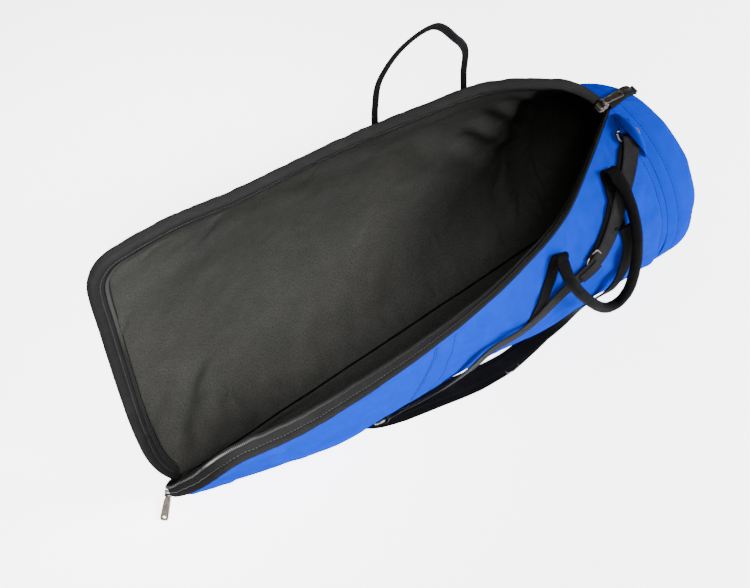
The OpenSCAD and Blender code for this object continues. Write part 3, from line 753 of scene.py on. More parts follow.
far_l = Wall(1, WHOLE, False)
S, T, A = far_l.S, far_l.T, far_l.A
far_l.d += 2.0 * far_l.free * fbm(S / 150 + 4, A / 120, 33, 3)
far_l.d += 0.7 * far_l.free * fbm(S / 45 + 4, A / 40, 35, 3)
far_l.simulate(0.016, 0.5, 4.5, 1.2)
for q, w, h in (([(45, 190), (50, 100), (62, 20)], 15, 4.0), ([(82, 210), (86, 110), (96, 22)], 17, 3.4), ([(135, 150), (122, 80), (112, 20)], 16, 2.4),
                ([(600, 330), (668, 240), (735, 170)], 15, 5.0), ([(628, 385), (690, 280), (750, 205)], 14, 5.0), ([(560, 300), (640, 190), (720, 120)], 18, 3.4),
                ([(505, 370), (545, 270), (600, 190)], 20, 2.6), ([(650, 410), (712, 330), (752, 260)], 11, 4.0), ([(300, 420), (380, 360), (470, 330)], 24, 2.2), ([(14, 14), (70, 105), (140, 190)], 17, 4.2),
                ([(40, 330), (130, 360), (260, 330)], 26, 2.0)):
    far_l.d += ridge(S, A, q, w, h)
far_l.done()

o_near = place(near_o.object("near_outer_cloth", M_BLUE), "case", "blue_fabric", "near_outer", "near_foam")
o_nlin = place(near_l.object("near_lining_cloth", M_LINING), "case", "lining", "near_lining")
o_far = bend(far_o.object("far_outer_cloth", M_BLUE), "blue_fabric", "flap_outer", "flap_foam", "barrel_outer", "barrel_foam")
o_flin = bend(far_l.object("far_lining_cloth", M_LINING), "lining", "flap_lining", "barrel_lining")

# rolled seam cord where the two linings meet along the bottom, in the darkest webbing copy: painted shadow for the
# shade line of the fold
sq = np.linspace(8, 752, 260)
bot = wall(-1, sq, np.zeros_like(sq), np.full_like(sq, WHOLE))
bot[:, 2] = WHOLE + 0.75
bot[:, 1] += 0.9 * noise2(sq / 60, sq * 0 + 0.4, 63)
rad9 = 1.7 * np.clip(np.minimum(sq - 8, 752 - sq) / 10 + 0.3, 0, 1) * (1 + 0.12 * noise2(sq / 9, sq * 0 + 2.4, 65))
v, f = tube("seam", bot, rad9, M_WEB2, 12)
place(add_mesh("lining_bottom_shadow_cord", v, f, M_WEB2), "case", "lining")

# ------------------------------------------------------------------ domed end
tt = np.linspace(0, 1, 90)
ring_n, ring_f = wall(-1, np.full(90, L), tt, np.zeros(90)), wall(1, np.full(90, L), tt[::-1], np.zeros(90))
top = np.linspace(ring_n[-1], ring_f[0], 8)[1:-1]
RING = np.concatenate([ring_n, top, ring_f])[:-1]


def dome_grid(o, n, outward):
    a = np.degrees(np.linspace(0, 1, n) ** 0.9 * math.pi / 2)
    G = np.stack([dome(np.full(len(RING), x), RING, o) for x in a])
    du = np.gradient(G, axis=0)
    dv = np.roll(G, -1, 1) - np.roll(G, 1, 1)
    N = unit(np.cross(du, dv)) * outward
    N[-1] = np.array([outward, 0, 0])
    return a, G, N


a, G, N = dome_grid(0, 74, 1)
if (N[20, :, 0]).mean() < 0:
    N = -N
ang = np.linspace(0, 2 * math.pi, len(RING), endpoint=False)[None]
row = a[:, None]
ca, sa = np.cos(ang), np.sin(ang)
free = np.clip(row / 14, 0, 1) * np.clip((90 - row) / 20, 0, 1)
rad = np.cos(np.radians(row))
D = 1.1 * free * fbm(2.2 * rad * ca + 9, 2.2 * rad * sa + 9, 51, 3)
D = D + 0.8 * np.exp(-(((row - 12) / 9) ** 2)) * fbm(ca * 7 + 20, sa * 7 + 20, 55, 2) * np.clip(row / 4, 0, 1)
D = D + groove(row - 8.5, 1.3, 1.2)
for k, (a0, wdt, h) in enumerate(((1.35, 0.09, 3.0), (1.75, 0.07, 2.6), (2.15, 0.1, 2.8), (2.6, 0.08, 2.2), (1.05, 0.08, 2.2), (4.4, 0.1, 2.4), (5.0, 0.1, 2.0))):
    dist = np.abs((ang - a0 - 0.006 * row + math.pi) % (2 * math.pi) - math.pi)
    D = D + 0.7 * h * np.exp(-((dist / wdt) ** 2)) * np.clip((row - 9) / 14, 0, 1) * np.clip((66 - row) / 40, 0, 1)
G2 = G + N * D[..., None]
G2[..., 2] = np.maximum(G2[..., 2], 0.15)
G2[..., 0] = np.minimum(G2[..., 0], 480.5)
DOME = G2
uv = np.stack(np.broadcast_arrays(row * 1.9, ang * 160), -1)
o_dome = grid_object("dome_outer_cloth", G2, M_BLUE, uv, wrap=True, flip=False)
place(o_dome, "case", "blue_fabric", "dome_outer", "dome_foam")
a2, G3, N3 = dome_grid(WHOLE, 50, -1)
if (N3[14, :, 0]).mean() > 0:
    N3 = -N3
G3 = G3 + N3 * (2.0 * np.clip(a2[:, None] / 14, 0, 1) * fbm(2.6 * np.cos(np.radians(a2[:, None])) * ca + 3, 2.6 * np.cos(np.radians(a2[:, None])) * sa + 3, 57, 3))[..., None]
first = G3[:1].copy()
first[..., 0] -= 10
first[..., 1] = 14 + (first[..., 1] - 14) * 1.014
first[..., 2] = 158 + (first[..., 2] - 158) * 1.014
G3, a2 = np.concatenate([first, G3]), np.concatenate([[-5.0], a2])
o_dlin = grid_object("dome_lining_cloth", G3, M_LINING, np.stack(np.broadcast_arrays(a2[:, None] * 1.8, ang * 150), -1), wrap=True, flip=True)
place(o_dlin, "case", "lining", "dome_lining")


# ------------------------------------------------------------------ zip band round the rims
def rim_path(side, s1):
    """points and frames along the free edge, from low on the mouth round the corner to s1"""
    t = np.linspace(0.03, 1, 260)
    s = np.linspace(0, s1, 420)[1:]
    cs = np.concatenate([np.zeros_like(t), s])
    ct = np.concatenate([t, np.ones_like(s)])
    P = wall(side, cs, ct, np.zeros_like(cs))
    Nn = inward(side, cs, ct)
    d = arc(P)
    q = np.linspace(0, d[-1], int(d[-1] / 2.4))
    at = lambda X: np.stack([np.interp(q, d, X[:, k]) for k in range(3)], 1)
    P, Nn = soften(at(P), 5), unit(soften(at(Nn), 6))
    D = tangents(P)
    Nn = unit(Nn - D * (Nn * D).sum(1, keepdims=True))
    E = np.cross(Nn, D) * side
    sl = np.interp(q, d, cs)
    return P, D, Nn, E, q, sl


def resampled(B, n):
    B = np.array(B, float)
    d = arc(B)
    B = np.stack([np.interp(np.linspace(0, d[-1], n), d, B[:, k]) for k in (0, 1)], 1)
    B[1:-1] = (B[:-2] + 2 * B[1:-1] + B[2:]) / 4
    return B


BAND_F = resampled([[-11.4, 0.6], [-11.5, -0.9], [-10.6, -1.9], [-8.6, -1.7], [-6.5, -2.2], [-3.5, -2.5], [-0.8, -2.1], [1.3, -0.6], [2.3, 1.8], [2.6, 4.6], [2.3, 7.3],
                    [1.3, 9.8], [-0.8, 11.3], [-3.6, 11.7], [-6.6, 11.5], [-8.6, 10.9], [-10.4, 11.3], [-13.4, 11.2], [-15.0, 10.6], [-16.5, 10.2], [-19.5, 10.0], [-22.5, 9.9], [-23.3, 9.4], [-23.2, 8.4]], 60)
# near side: nothing on the outer face; over the padding, then the tape stands in past the edge, wide by the mouth
NEAR_WIDE = resampled([[-2.4, 0.5], [-2.3, -0.7], [-1.0, -1.3], [0.6, -0.8], [1.7, 0.8], [2.2, 3.0], [2.0, 5.2], [1.2, 6.6], [1.5, 8.0], [2.6, 10.0], [3.4, 12.4], [4.2, 15.0], [5.0, 17.6], [5.6, 19.4], [5.2, 19.9], [4.4, 19.2],
                       [3.4, 16.6], [2.4, 14.0], [1.0, 12.0], [-1.5, 11.0], [-5.0, 10.6], [-10.0, 10.4], [-15.0, 10.2], [-15.6, 9.2]], 60)
NEAR_SLIM = resampled([[-2.4, 0.5], [-2.3, -0.7], [-1.0, -1.3], [0.6, -0.8], [1.7, 0.8], [2.2, 3.0], [2.0, 5.2], [1.2, 6.6], [1.2, 8.0], [1.5, 9.4], [1.9, 10.6], [2.3, 11.8], [2.6, 12.9], [2.7, 13.6], [2.2, 14.1], [1.4, 13.6],
                       [0.4, 12.6], [-0.8, 12.0], [-2.0, 11.6], [-3.5, 11.0], [-6.0, 10.6], [-10.0, 10.4], [-15.0, 10.2], [-15.6, 9.2]], 60)


def section(side, sl, low):
    """cross-section of the band at each place along the rim"""
    if side > 0:
        return np.tile(BAND_F[None], (len(sl), 1, 1))
    u = np.clip((sl - 150) / 330, 0, 1)
    u = (u * u * (3 - 2 * u))[:, None, None]
    v = np.clip(low / 200, 0, 1)[:, None, None]
    wide = NEAR_WIDE[None] * v + NEAR_SLIM[None] * (1 - v)
    return wide * (1 - u) + NEAR_SLIM[None] * u


def band(side, s1, seed):
    P, D, Nn, E, q, sl = rim_path(side, s1)
    B = section(side, sl, q)
    pd = np.concatenate([[0], np.cumsum(np.linalg.norm(np.diff(B[len(B) // 3], axis=0), axis=1))])
    bump = 0.45 * noise2(q[:, None] / 17, pd[None] / 11, seed) + 0.4 * noise2(q[:, None] / 6.5, pd[None] / 16, seed + 1)
    bump = bump * np.clip(np.minimum(pd, pd[-1] - pd) / 5, 0, 1)[None]
    sway = 1.1 * noise2(q / 60, q * 0 + 0.5, seed + 2) + 0.5 * noise2(q / 22, q * 0 + 3.5, seed + 3)
    if side < 0:
        sway *= 0.6
    e = B[..., 0] + sway[:, None] * 0.55
    n = B[..., 1] + np.where(B[..., 1] > 7, 1, -1) * bump
    V = P[:, None] + E[:, None] * e[..., None] + Nn[:, None] * n[..., None]
    V[..., 2] = np.maximum(V[..., 2], 0.4)
    return V, pd, q, (P, D, Nn, E, sl, sway, B)


def at_rim(fr, e, n):
    P, D, Nn, E, sl, sway = fr[:6]
    return P + E * (e + sway[:, None] * 0.55) + Nn * n


def on_band(fr, V, k, up=0.0):
    """points and normals on the band's own surface, k a fraction of the way round its section"""
    j = int(round(k * (V.shape[1] - 1)))
    a, b = V[:, max(0, j - 1)], V[:, min(V.shape[1] - 1, j + 1)]
    nn = unit(np.cross(b - a, fr[1]))
    mid = V[:, V.shape[1] // 2 - 6]
    inside = fr[0] + fr[2] * 5 - fr[3] * 4
    nn = nn * np.sign(((V[:, j] - inside) * nn).sum(1, keepdims=True))
    return V[:, j] + nn * up, nn


def coil(P, Nn, E, pitch=1.9, width=4.9):
    """nylon coil: a cord core with a tooth loop every pitch"""
    ln = arc(P)
    m = int(ln[-1] / pitch)
    q = (np.arange(m) + 0.5) * ln[-1] / m
    at = lambda X: np.stack([np.interp(q, ln, X[:, k]) for k in range(3)], 1)
    C, N2, E2 = at(P), unit(at(Nn)), unit(at(E))
    Dq = unit(np.cross(N2, E2))
    return capsule_set(C + N2 * 0.55, E2 + Dq * 0.22, N2, width, 1.15, 1.7), tube("core", P[::3] - Nn[::3] * 0.5, 1.25, M_COIL, 8)


Vn, pd, qn, fr_n = band(-1, 752, 61)
uvb = lambda q, pd: np.stack(np.broadcast_arrays(q[:, None], pd[None]), -1)
o_bn = place(grid_object("zip_band_near", Vn, M_TAPE, uvb(qn, pd), flip=True), "case", "zip_tape", "zip_tape_near")
Vf, pd, qf, fr_f = band(1, 752, 71)
o_bf = bend(grid_object("zip_band_far", Vf, M_TAPE, uvb(qf, pd), flip=False), "zip_tape", "zip_tape_flap", "zip_tape_barrel")
cut_n, cut_f = int(34 / 2.4), int(30 / 2.4)
top_n, nn_n = on_band(fr_n, Vn, 0.42, 1.1)
edge = unit(np.cross(nn_n, fr_n[1]))
teeth, core = coil(top_n[cut_n:-8], nn_n[cut_n:-8], edge[cut_n:-8], 2.1, 2.6)
place(add_mesh("zip_coil_near_teeth", *teeth, M_COIL_HIGHLIT), "case", "zip_coil", "zip_coil_near")
place(add_mesh("zip_coil_near_core", *core, M_COIL), "case", "zip_coil")
v, f = join_arrays(coil(at_rim(fr_f, -17.7, 11.5)[cut_f:-8], fr_f[2][cut_f:-8], fr_f[3][cut_f:-8]))
bend(add_mesh("zip_coil_far_teeth", v, f, M_COIL), "zip_coil", "zip_coil_flap", "zip_coil_barrel")
rows = []
for k in (0.235,):
    P, Nn = on_band(fr_n, Vn, k, 0.15)
    rows.append(stitches(P[8:-4], Nn[8:-4], 3.0, 1.7, 0.9, 0.9, 0.1))
place(stitch_object("zip_stitches_near_in", rows, M_GREY), "case", "zip_tape")
rows = [stitches(at_rim(fr_f, -9.6, 11.2)[8:-4], fr_f[2][8:-4], 2.6, 1.5, 0.7, 0.8, 0.1), stitches(at_rim(fr_f, -21.0, 10.0)[10:-6], fr_f[2][10:-6], 2.6, 1.5, 0.7, 0.8, 0.15)]
bend(stitch_object("zip_stitches_far_in", rows, M_GREY), "zip_tape")
rows = [stitches(at_rim(fr_f, -8.6, -1.9)[8:-4], -fr_f[2][8:-4], 2.8, 1.4, 0.7, 0.8, 0.1)]
bend(stitch_object("zip_stitches_far_out", rows, M_THREAD), "zip_tape")

# closed zip over the dome
run = np.stack([dome(np.array(x, float), np.array([0, 21 + 0.9 * (x - 3), 316.0]), 0) + np.array([0, 0, 2.6]) for x in np.linspace(1.5, 33, 16)])
head = np.linspace(run[0] + np.array([-5, 0, 0.4]), run[0], 4)[:-1]
run = resample(np.concatenate([head, run]), 1.6)
nz = unit(np.cross(tangents(run), np.tile([0, 1.0, 0], (len(run), 1))))
nz = nz * np.sign(nz[:, 2:3])
o_cz = ribbon("zip_closed_run", run, np.tile([0, 1.0, 0], (len(run), 1)), 18, 1.5, M_TAPE, 0.3, 0.3, 81)
place(o_cz, "case", "zip_tape", "zip_closed_end")
ln = arc(run)
q = np.arange(6, ln[-1] - 5, 1.9)
at = lambda X: np.stack([np.interp(q, ln, X[:, k]) for k in range(3)], 1)
v, f = capsule_set(at(run) + at(nz) * 1.5, np.tile([0.15, 1.0, 0], (len(q), 1)), at(nz), 5.6, 1.2, 1.9)
place(add_mesh("zip_closed_teeth", v, f, M_COIL), "case", "zip_coil")
yy = np.array([0, 1.0, 0])
rows = [stitches(run[3:-1] + nz[3:-1] * 1.0 + yy * s, nz[3:-1], 2.6, 1.4, 0.7, 0.8, 0.1) for s in (-7.2, 7.2)]
place(stitch_object("zip_closed_stitches", rows, M_THREAD), "case", "zip_tape")


# ------------------------------------------------------------------ metal: plates and bars with worn rounded edges
def plate(outline, holes, thick, bevel, res=3):
    """flat plate from an outline, with holes and rounded edges, in mm, about z = 0; returns verts, faces"""
    cu = bpy.data.curves.new("plate", "CURVE")
    cu.dimensions, cu.fill_mode = "2D", "BOTH"
    for loop in [outline] + list(holes):
        sp = cu.splines.new("POLY")
        sp.points.add(len(loop) - 1)
        for p, (x, y) in zip(sp.points, loop):
            p.co = (x, y, 0, 1)
        sp.use_cyclic_u = True
    cu.extrude = max(0.0, thick / 2 - bevel)
    cu.bevel_depth, cu.bevel_resolution, cu.offset = bevel, res, -bevel
    o = bpy.data.objects.new("plate", cu)
    SCN.collection.objects.link(o)
    dg = bpy.context.evaluated_depsgraph_get()
    me = bpy.data.meshes.new_from_object(o.evaluated_get(dg))
    V = np.array([v.co for v in me.vertices], float)
    F = [tuple(p.vertices) for p in me.polygons]
    bpy.data.objects.remove(o)
    bpy.data.curves.remove(cu)
    bpy.data.meshes.remove(me)
    return V, F


def bar_box(c, size, r, seg=3):
    bm = bmesh.new()
    bmesh.ops.create_cube(bm, size=1)
    bmesh.ops.scale(bm, vec=size, verts=bm.verts)
    bmesh.ops.bevel(bm, geom=list(bm.edges), offset=r, segments=seg, profile=0.5, affect="EDGES")
    V = np.array([v.co for v in bm.verts], float) + np.array(c, float)
    bm.verts.index_update()
    F = [tuple(v.index for v in p.verts) for p in bm.faces]
    bm.free()
    return V, F


def rounded(pts, r, k=6):
    """round the corners of a polygon"""
    pts = [np.array(p, float) for p in pts]
    out = []
    for i, p in enumerate(pts):
        a, b = pts[i - 1], pts[(i + 1) % len(pts)]
        da, db = unit(a - p), unit(b - p)
        ri = r[i] if hasattr(r, "__len__") else r
        h = math.acos(max(-1, min(1, float(da @ db)))) / 2
        cut = min(ri / math.tan(h), 0.48 * np.linalg.norm(a - p), 0.48 * np.linalg.norm(b - p))
        for u in np.linspace(0, 1, k):
            out.append(tuple((1 - u) ** 2 * (p + da * cut) + 2 * u * (1 - u) * p + u * u * (p + db * cut)))
    return out


def circle(x, y, r, k=20):
    return [(x + r * math.cos(a), y + r * math.sin(a)) for a in np.linspace(0, 2 * math.pi, k, endpoint=False)]


def moved(part, M):
    V, F = part
    M = np.asarray(M, float)
    return V @ M[:3, :3].T + M[:3, 3], F


def frame_at(p, x, y):
    x = unit(np.asarray(x, float))
    z = unit(np.cross(x, y))
    M = np.eye(4)
    M[:3, 0], M[:3, 1], M[:3, 2], M[:3, 3] = x, np.cross(z, x), z, p
    return M


def rot(axis, deg):
    return np.array(Matrix.Rotation(math.radians(deg), 4, axis))


def shift(x, y, z):
    M = np.eye(4)
    M[:3, 3] = (x, y, z)
    return M


def metal_object(name, parts, M, body, *nodes, mat=None):
    V, F = join_arrays([moved(p, M) for p in parts])
    o = add_mesh(name, V, F, mat or M_METAL)
    o.data.polygons.foreach_set("use_smooth", np.ones(len(o.data.polygons), bool))
    o.data.set_sharp_from_angle(angle=math.radians(38))
    return place(o, body, "nickel", *nodes)


def slider_parts():
    wide = rounded([(8.4, -5.2), (8.4, 5.2), (3.0, 6.4), (-8.4, 5.0), (-8.4, -5.0), (3.0, -6.4)], 2.4)
    wide_b = rounded([(8.4, -6.0), (8.4, 6.0), (3.0, 6.4), (-8.4, 5.4), (-8.4, -5.4), (3.0, -6.4)], 2.4)
    out = [moved(plate(wide, [], 2.0, 0.55), shift(0, 0, 2.6)), moved(plate(wide_b, [], 2.0, 0.55), shift(0, 0, -3.0))]
    out.append(bar_box((6, 0, 0), (4, 2.4, 6), 0.4))
    for y in (-1, 1):
        out.append(bar_box((-2.6, y * 5.35, 1.3), (10, 0.9, 2.4), 0.35))
        up = rounded([(-2.6, 3.2), (2.6, 3.2), (2.3, 9.6), (-2.3, 9.6)], [0.4, 0.4, 2.2, 2.2])
        out.append(moved(plate(up, [], 1.6, 0.4), shift(0, y * 4.6, 0) @ rot("X", 90)))
    out.append(moved(tube("b", np.array([[0, -5.2, 7.6], [0, -2, 7.6], [0, 2, 7.6], [0, 5.2, 7.6]]), 1.3, M_METAL, 14), np.eye(4)))
    return out


def pull_parts():
    blade = rounded([(-2.4, -3.4), (-4.2, -3.4), (-8, -4.4), (-38, -5.2), (-41, -3.6), (-41, 3.6), (-38, 5.2), (-8, 4.4), (-4.2, 3.4), (-2.4, 3.4)], [0.6, 1, 3, 2.4, 2, 2, 2.4, 3, 1, 0.6])
    out = [plate(blade, [circle(-35.5, 0, 2.0)], 1.7, 0.5)]
    frame_ = rounded([(-9.5, -3.4), (-31, -4.0), (-31, 4.0), (-9.5, 3.4)], 1.2)
    inner = rounded([(-10.6, -2.5), (-30.0, -3.0), (-30.0, 3.0), (-10.6, 2.5)], 0.8)
    out.append(plate(frame_, [inner], 2.2, 0.3))
    ths = np.linspace(0, 2 * math.pi, 24, endpoint=False)
    ey = []
    for y in (-3.4, -3.0, 3.0, 3.4):
        r1 = 2.9 if abs(y) < 3.2 else 2.6
        ey.append([(r1 * math.cos(t), y, r1 * math.sin(t)) for t in ths])
    for y in (3.4, -3.4):
        ey.append([(1.8 * math.cos(t), y, 1.8 * math.sin(t)) for t in ths])
    V = np.array(ey)
    order = np.concatenate([V, V[:1]])
    f = grid_faces(7, 24, True, False)
    out.append((order.reshape(-1, 3), f))
    return [moved(p, np.diag([0.87, 1.14, 1.0, 1.0])) for p in out]


SL_P, SR_P = np.array([-386.4, 6.8, 15]), np.array([368.629, 20.0231, 321.905])
ML = frame_at(SL_P, (0, 0, 1), unit([-1, 1, 0]))
MR = shift(*SR_P) @ rot("Z", 180)
metal_object("zip_slider_left", slider_parts(), ML, "slider_left", "slider_left")
metal_object("zip_pull_left", pull_parts(), ML @ shift(0, 0, 7.6) @ rot("Y", 72), "pull_left", "pull_left", mat=M_PULL)
metal_object("zip_slider_right", slider_parts(), MR, "slider_right", "slider_right")
metal_object("zip_pull_right", pull_parts(), MR @ shift(0, 0, 7.6) @ rot("Y", -8), "pull_right", "pull_right", mat=M_PULL)
stop = run[-1]
metal_object("zip_stop", [bar_box((0, 0, 1.4), (4, 12, 3.2), 0.9), bar_box((0, 0, -0.6), (5, 13, 1.2), 0.4)],
             frame_at(stop + np.array([3.2, 0, -1.4]), unit(run[-1] - run[-4]), (0, 1, 0)), "case", "zip_end_stop", mat=M_DARKMETAL)

# ------------------------------------------------------------------ strap rings and their tabs
RW, RH, LOOP_R = 30.0, 14.0, 6.2


def way(s, t, a, b):
    u = unit(skin(-1, min(L, s + 2), t) - skin(-1, s - 2, t))
    return unit(u * a + unit(skin(-1, s, t + 0.01) - skin(-1, s, t - 0.01)) * b)


MRR = frame_at(wall(-1, 750.0, 0.938, -6.4), way(750.0, 0.938, 0.76, -0.65), way(750.0, 0.938, 0.65, 0.76))
MRL = frame_at(wall(-1, 290.0, 0.37, -7.4), way(290.0, 0.37, -0.61, 0.79), way(290.0, 0.37, -0.79, -0.61))


def ring_part():
    pts = rounded([(-RW / 2, 0), (RW / 2, 0), (RW / 2, -RH), (-RW / 2, -RH)], [2.5, 2.5, 5, 5], 9)
    P = np.array([(x, y, 0) for x, y in pts])
    P = resample(np.concatenate([P, P[:1]]), 1.4)[:-1]
    return tube("ring", P, 2.0, M_METAL, 14, closed=True)


def yz_ribbon(name, pts, M, width, thick, mat, seed):
    P = cr3([(0, y, z) for y, z in pts], 6)
    P = P @ M[:3, :3].T + M[:3, 3]
    return ribbon(name, resample(P, 1.0), np.tile(M[:3, 0], (len(resample(P, 1.0)), 1)), width, thick, mat, 0.15, 0.2, seed)


TAB = [(18, -4.3), (12, -4.2), (5, -4.0), (0, -3.5), (-2.7, -2.3), (-3.6, 0), (-2.6, 2.4), (0, 3.3), (4, 2.0), (9, -1.2), (13, -2.4), (17, -2.7)]
for nm, M, mat, slot in (("right", MRR, M_BLUE, "blue_fabric"), ("left", MRL, M_WEB, "webbing")):
    v, f = moved(ring_part(), M)
    place(add_mesh("strap_ring_" + nm, v, f, M_METAL), "ring_" + nm, "nickel", "ring_" + nm)
    place(yz_ribbon("ring_tab_" + nm + "_cloth", TAB, M, 20, 1.2, mat, 91), "case", slot, "ring_tab_" + nm)
    rows = []
    for seg in ([(-8, 8), (8, 8)], [(8, 8), (8, 16)], [(8, 16), (-8, 16)], [(-8, 16), (-8, 8)], [(-8, 8), (8, 16)], [(8, 8), (-8, 16)]):
        q = resample(np.array([(x, y, np.interp(y, [8, 9, 14, 20], [-0.2, -0.5, -1.7, -2.0])) for x, y in seg]), 1.0)
        q = q @ M[:3, :3].T + M[:3, 3]
        rows.append(stitches(q, np.tile(M[:3, 2], (len(q), 1)), 2.2, 1.0, 0.6, 0.6, 0.1))
    place(stitch_object("ring_tab_" + nm + "_stitches", rows, M_NAVY if nm == "right" else M_THREAD), "case", slot)
    lp = [(-RH + 5.3 * math.cos(x), 5.3 * math.sin(x)) for x in np.linspace(math.pi, 3 * math.pi, 15)]
    place(yz_ribbon("strap_loop_" + nm + "_web", lp, M, 22, 1.7, M_WEB, 93), "case", "webbing", "strap_loop_" + nm)

# blue patch sewn over the right ring
TOPE = np.array([[751.5, 0.985, 1.2], [755.4, 0.978, 1.6], [756.4, 0.955, 4.2], [756.4, 0.925, 5.2], [756.6, 0.895, 3.4], [756.8, 0.868, 1.0]], float)
LOWE = np.array([[747.1, 0.963, 4.0], [744.4, 0.952, 12.5], [743.2, 0.932, 16.2], [745.0, 0.905, 16.2], [750.0, 0.874, 10.5], [756.0, 0.852, 1.4]], float)
TOPE, LOWE = cr3(TOPE, 8), cr3(LOWE, 8)
kk = np.linspace(0, 1, 22)
PQ = TOPE[:, None] * (1 - kk)[None, :, None] + LOWE[:, None] * kk[None, :, None]
PQ[..., 2] = TOPE[:, None, 2] + (LOWE[:, None, 2] - TOPE[:, None, 2]) * (np.sin(kk * math.pi / 2) ** 0.6)[None] + 0.5 * noise2(PQ[..., 0] / 6, PQ[..., 1] * 60, 97) * np.sin(kk * math.pi)[None]
PQ[..., 2] += 11.0 * np.sin(kk * math.pi)[None] * (np.sin(np.linspace(0, 1, len(PQ)) ** 1.15 * math.pi) ** 1.2)[:, None]
PP = wall(-1, PQ[..., 0], PQ[..., 1], -PQ[..., 2])
PN = -inward(-1, PQ[..., 0], PQ[..., 1])
o = grid_object("ring_cover_patch", PP, M_BLUE)
sol = o.modifiers.new("thick", "SOLIDIFY")
sol.thickness, sol.offset = 0.0009, 0.0
place(o, "case", "blue_fabric")
rows = [stitches(PP[2:-2, j] + PN[2:-2, j] * 0.5, PN[2:-2, j], 2.4, 1.2, 0.7, 0.6, 0.1) for j in (3,)]
place(stitch_object("ring_cover_stitches", rows, M_NAVY), "case", "blue_fabric")

# ------------------------------------------------------------------ shoulder strap
rr_p, rr_y, rl_p, rl_y = MRR[:3, 3], MRR[:3, 1], MRL[:3, 3], MRL[:3, 1]
ua, ub = rr_p - rr_y * (RH + LOOP_R + 2.4), rl_p - rl_y * (RH + LOOP_R + 2.4)
UPPER = np.array([[727, 0.893, 6], [708, 0.876, 5.5], [686, 0.859, 5.5], [661, 0.826, 5.5], [637, 0.802, 7.5], [619, 0.792, 8.5], [603, 0.79, 8], [585, 0.785, 6], [558, 0.778, 5.5],
                  [521, 0.742, 5.5], [486, 0.726, 6.5], [438, 0.735, 7.5], [409, 0.655, 7], [376, 0.56, 7], [346, 0.48, 7], [326, 0.44, 7]], float)
LOWER = np.array([[676, 0.795, 9.5], [676, 0.737, 9], [669, 0.685, 9], [660, 0.623, 9.5], [642, 0.585, 11]], float)
FREE = np.array([[254, -147.5, 130.5], [241, -137, 94], [223, -128, 55.5], [202, -122, 24.5], [173, -121, 8], [138, -122, 7], [102, -118, 7], [65, -111, 5], [23, -101, 4], [-20, -91, 4],
                 [-57, -82, 4], [-81, -74, 4], [-103, -60, 3.6], [-120, -44, 3.0]], float)
near_in = lambda s, t: inward(-1, np.array([s]), np.array([t]))
UP = np.concatenate([[rr_p - rr_y * (RH - 1) + MRR[:3, 2] * 5.8, ua + MRR[:3, 2] * 1.5], wall(-1, UPPER[:, 0], UPPER[:, 1], -UPPER[:, 2]), [ub - rl_y * 7, ub]])
UN = np.concatenate([np.repeat(near_in(750.0, 0.938), 2, 0), inward(-1, UPPER[:, 0], UPPER[:, 1]), np.repeat(near_in(290.0, 0.37), 2, 0)])
LP = np.concatenate([wall(-1, LOWER[:, 0], LOWER[:, 1], -LOWER[:, 2]), FREE])
LN = np.concatenate([inward(-1, LOWER[:, 0], LOWER[:, 1]), [[-0.1, 0.85, -0.3], [-0.1, 0.7, -0.5], [0, 0.45, -0.8], [0, 0.2, -0.95]], np.tile([0, 0, -1.0], (10, 1))])


def strap(name, P, Nn, node, seed, width=22.0, thick=2.0, m=14, mat=None, cut=None):
    p, nn = cr3(P, m), unit(cr3(Nn, m))
    ww = unit(np.cross(tangents(p), nn))
    if cut:
        p, nn, ww = p[cut[0]:cut[1]], nn[cut[0]:cut[1]], ww[cut[0]:cut[1]]
    o = ribbon(name, p, ww, width, thick, mat or M_WEB, 0.12, 0.5, seed)
    place(o, "case", "webbing", *([node] if node else []))
    d, ww, u = frames_along(p, ww)
    rows = []
    for e in (-width / 2 + 2.2, width / 2 - 2.2):
        for sg in (1, -1):
            rows.append(stitches((p + ww * e + u * sg * (thick / 2 + 0.12))[20:], (u * sg)[20:], 2.8, 1.4, 0.6, 0.6, 0.1))
    place(stitch_object(name + "_stitches", rows, M_THREAD), "case", "webbing")
    return p, ww, nn


up_p, up_w, up_n = strap("strap_upper_web", UP, UN, "strap_upper", 101)
c9 = cr3(UP, 14)
n9 = unit(cr3(UN, 14))
w9 = unit(np.cross(tangents(c9), n9))
sg9 = -np.sign((w9[60] * np.array([0.812, -0.5837, 0.0])).sum())
k9 = np.clip(np.linspace(0, 1, 100) / 0.15, 0, 1)[:, None]
under = c9[6:106] + n9[6:106] * 2.6 + w9[6:106] * (sg9 * 7.5 * k9)
# the return layer uses the darkest webbing copy: painted shade for the layer lying in shadow under the strap
o = ribbon("strap_return_web", under, w9[6:106], 20, 1.6, M_WEB2, 0.1, 0.5, 105)
place(o, "case", "webbing")
tail = c9[98:124] - n9[98:124] * 2.6 - w9[98:124] * (sg9 * 3.0)
o = ribbon("strap_tail_web", tail, w9[98:124], 17, 1.6, M_WEB, 0.1, 0.5, 107)
place(o, "case", "webbing")
# the lower run and its doubled layers use the darkest webbing copy: painted shade against the upper run's lighter copy
lo_p, lo_w, lo_n = strap("strap_lower_web", LP, LN, "strap_lower", 111, mat=M_WEB2)
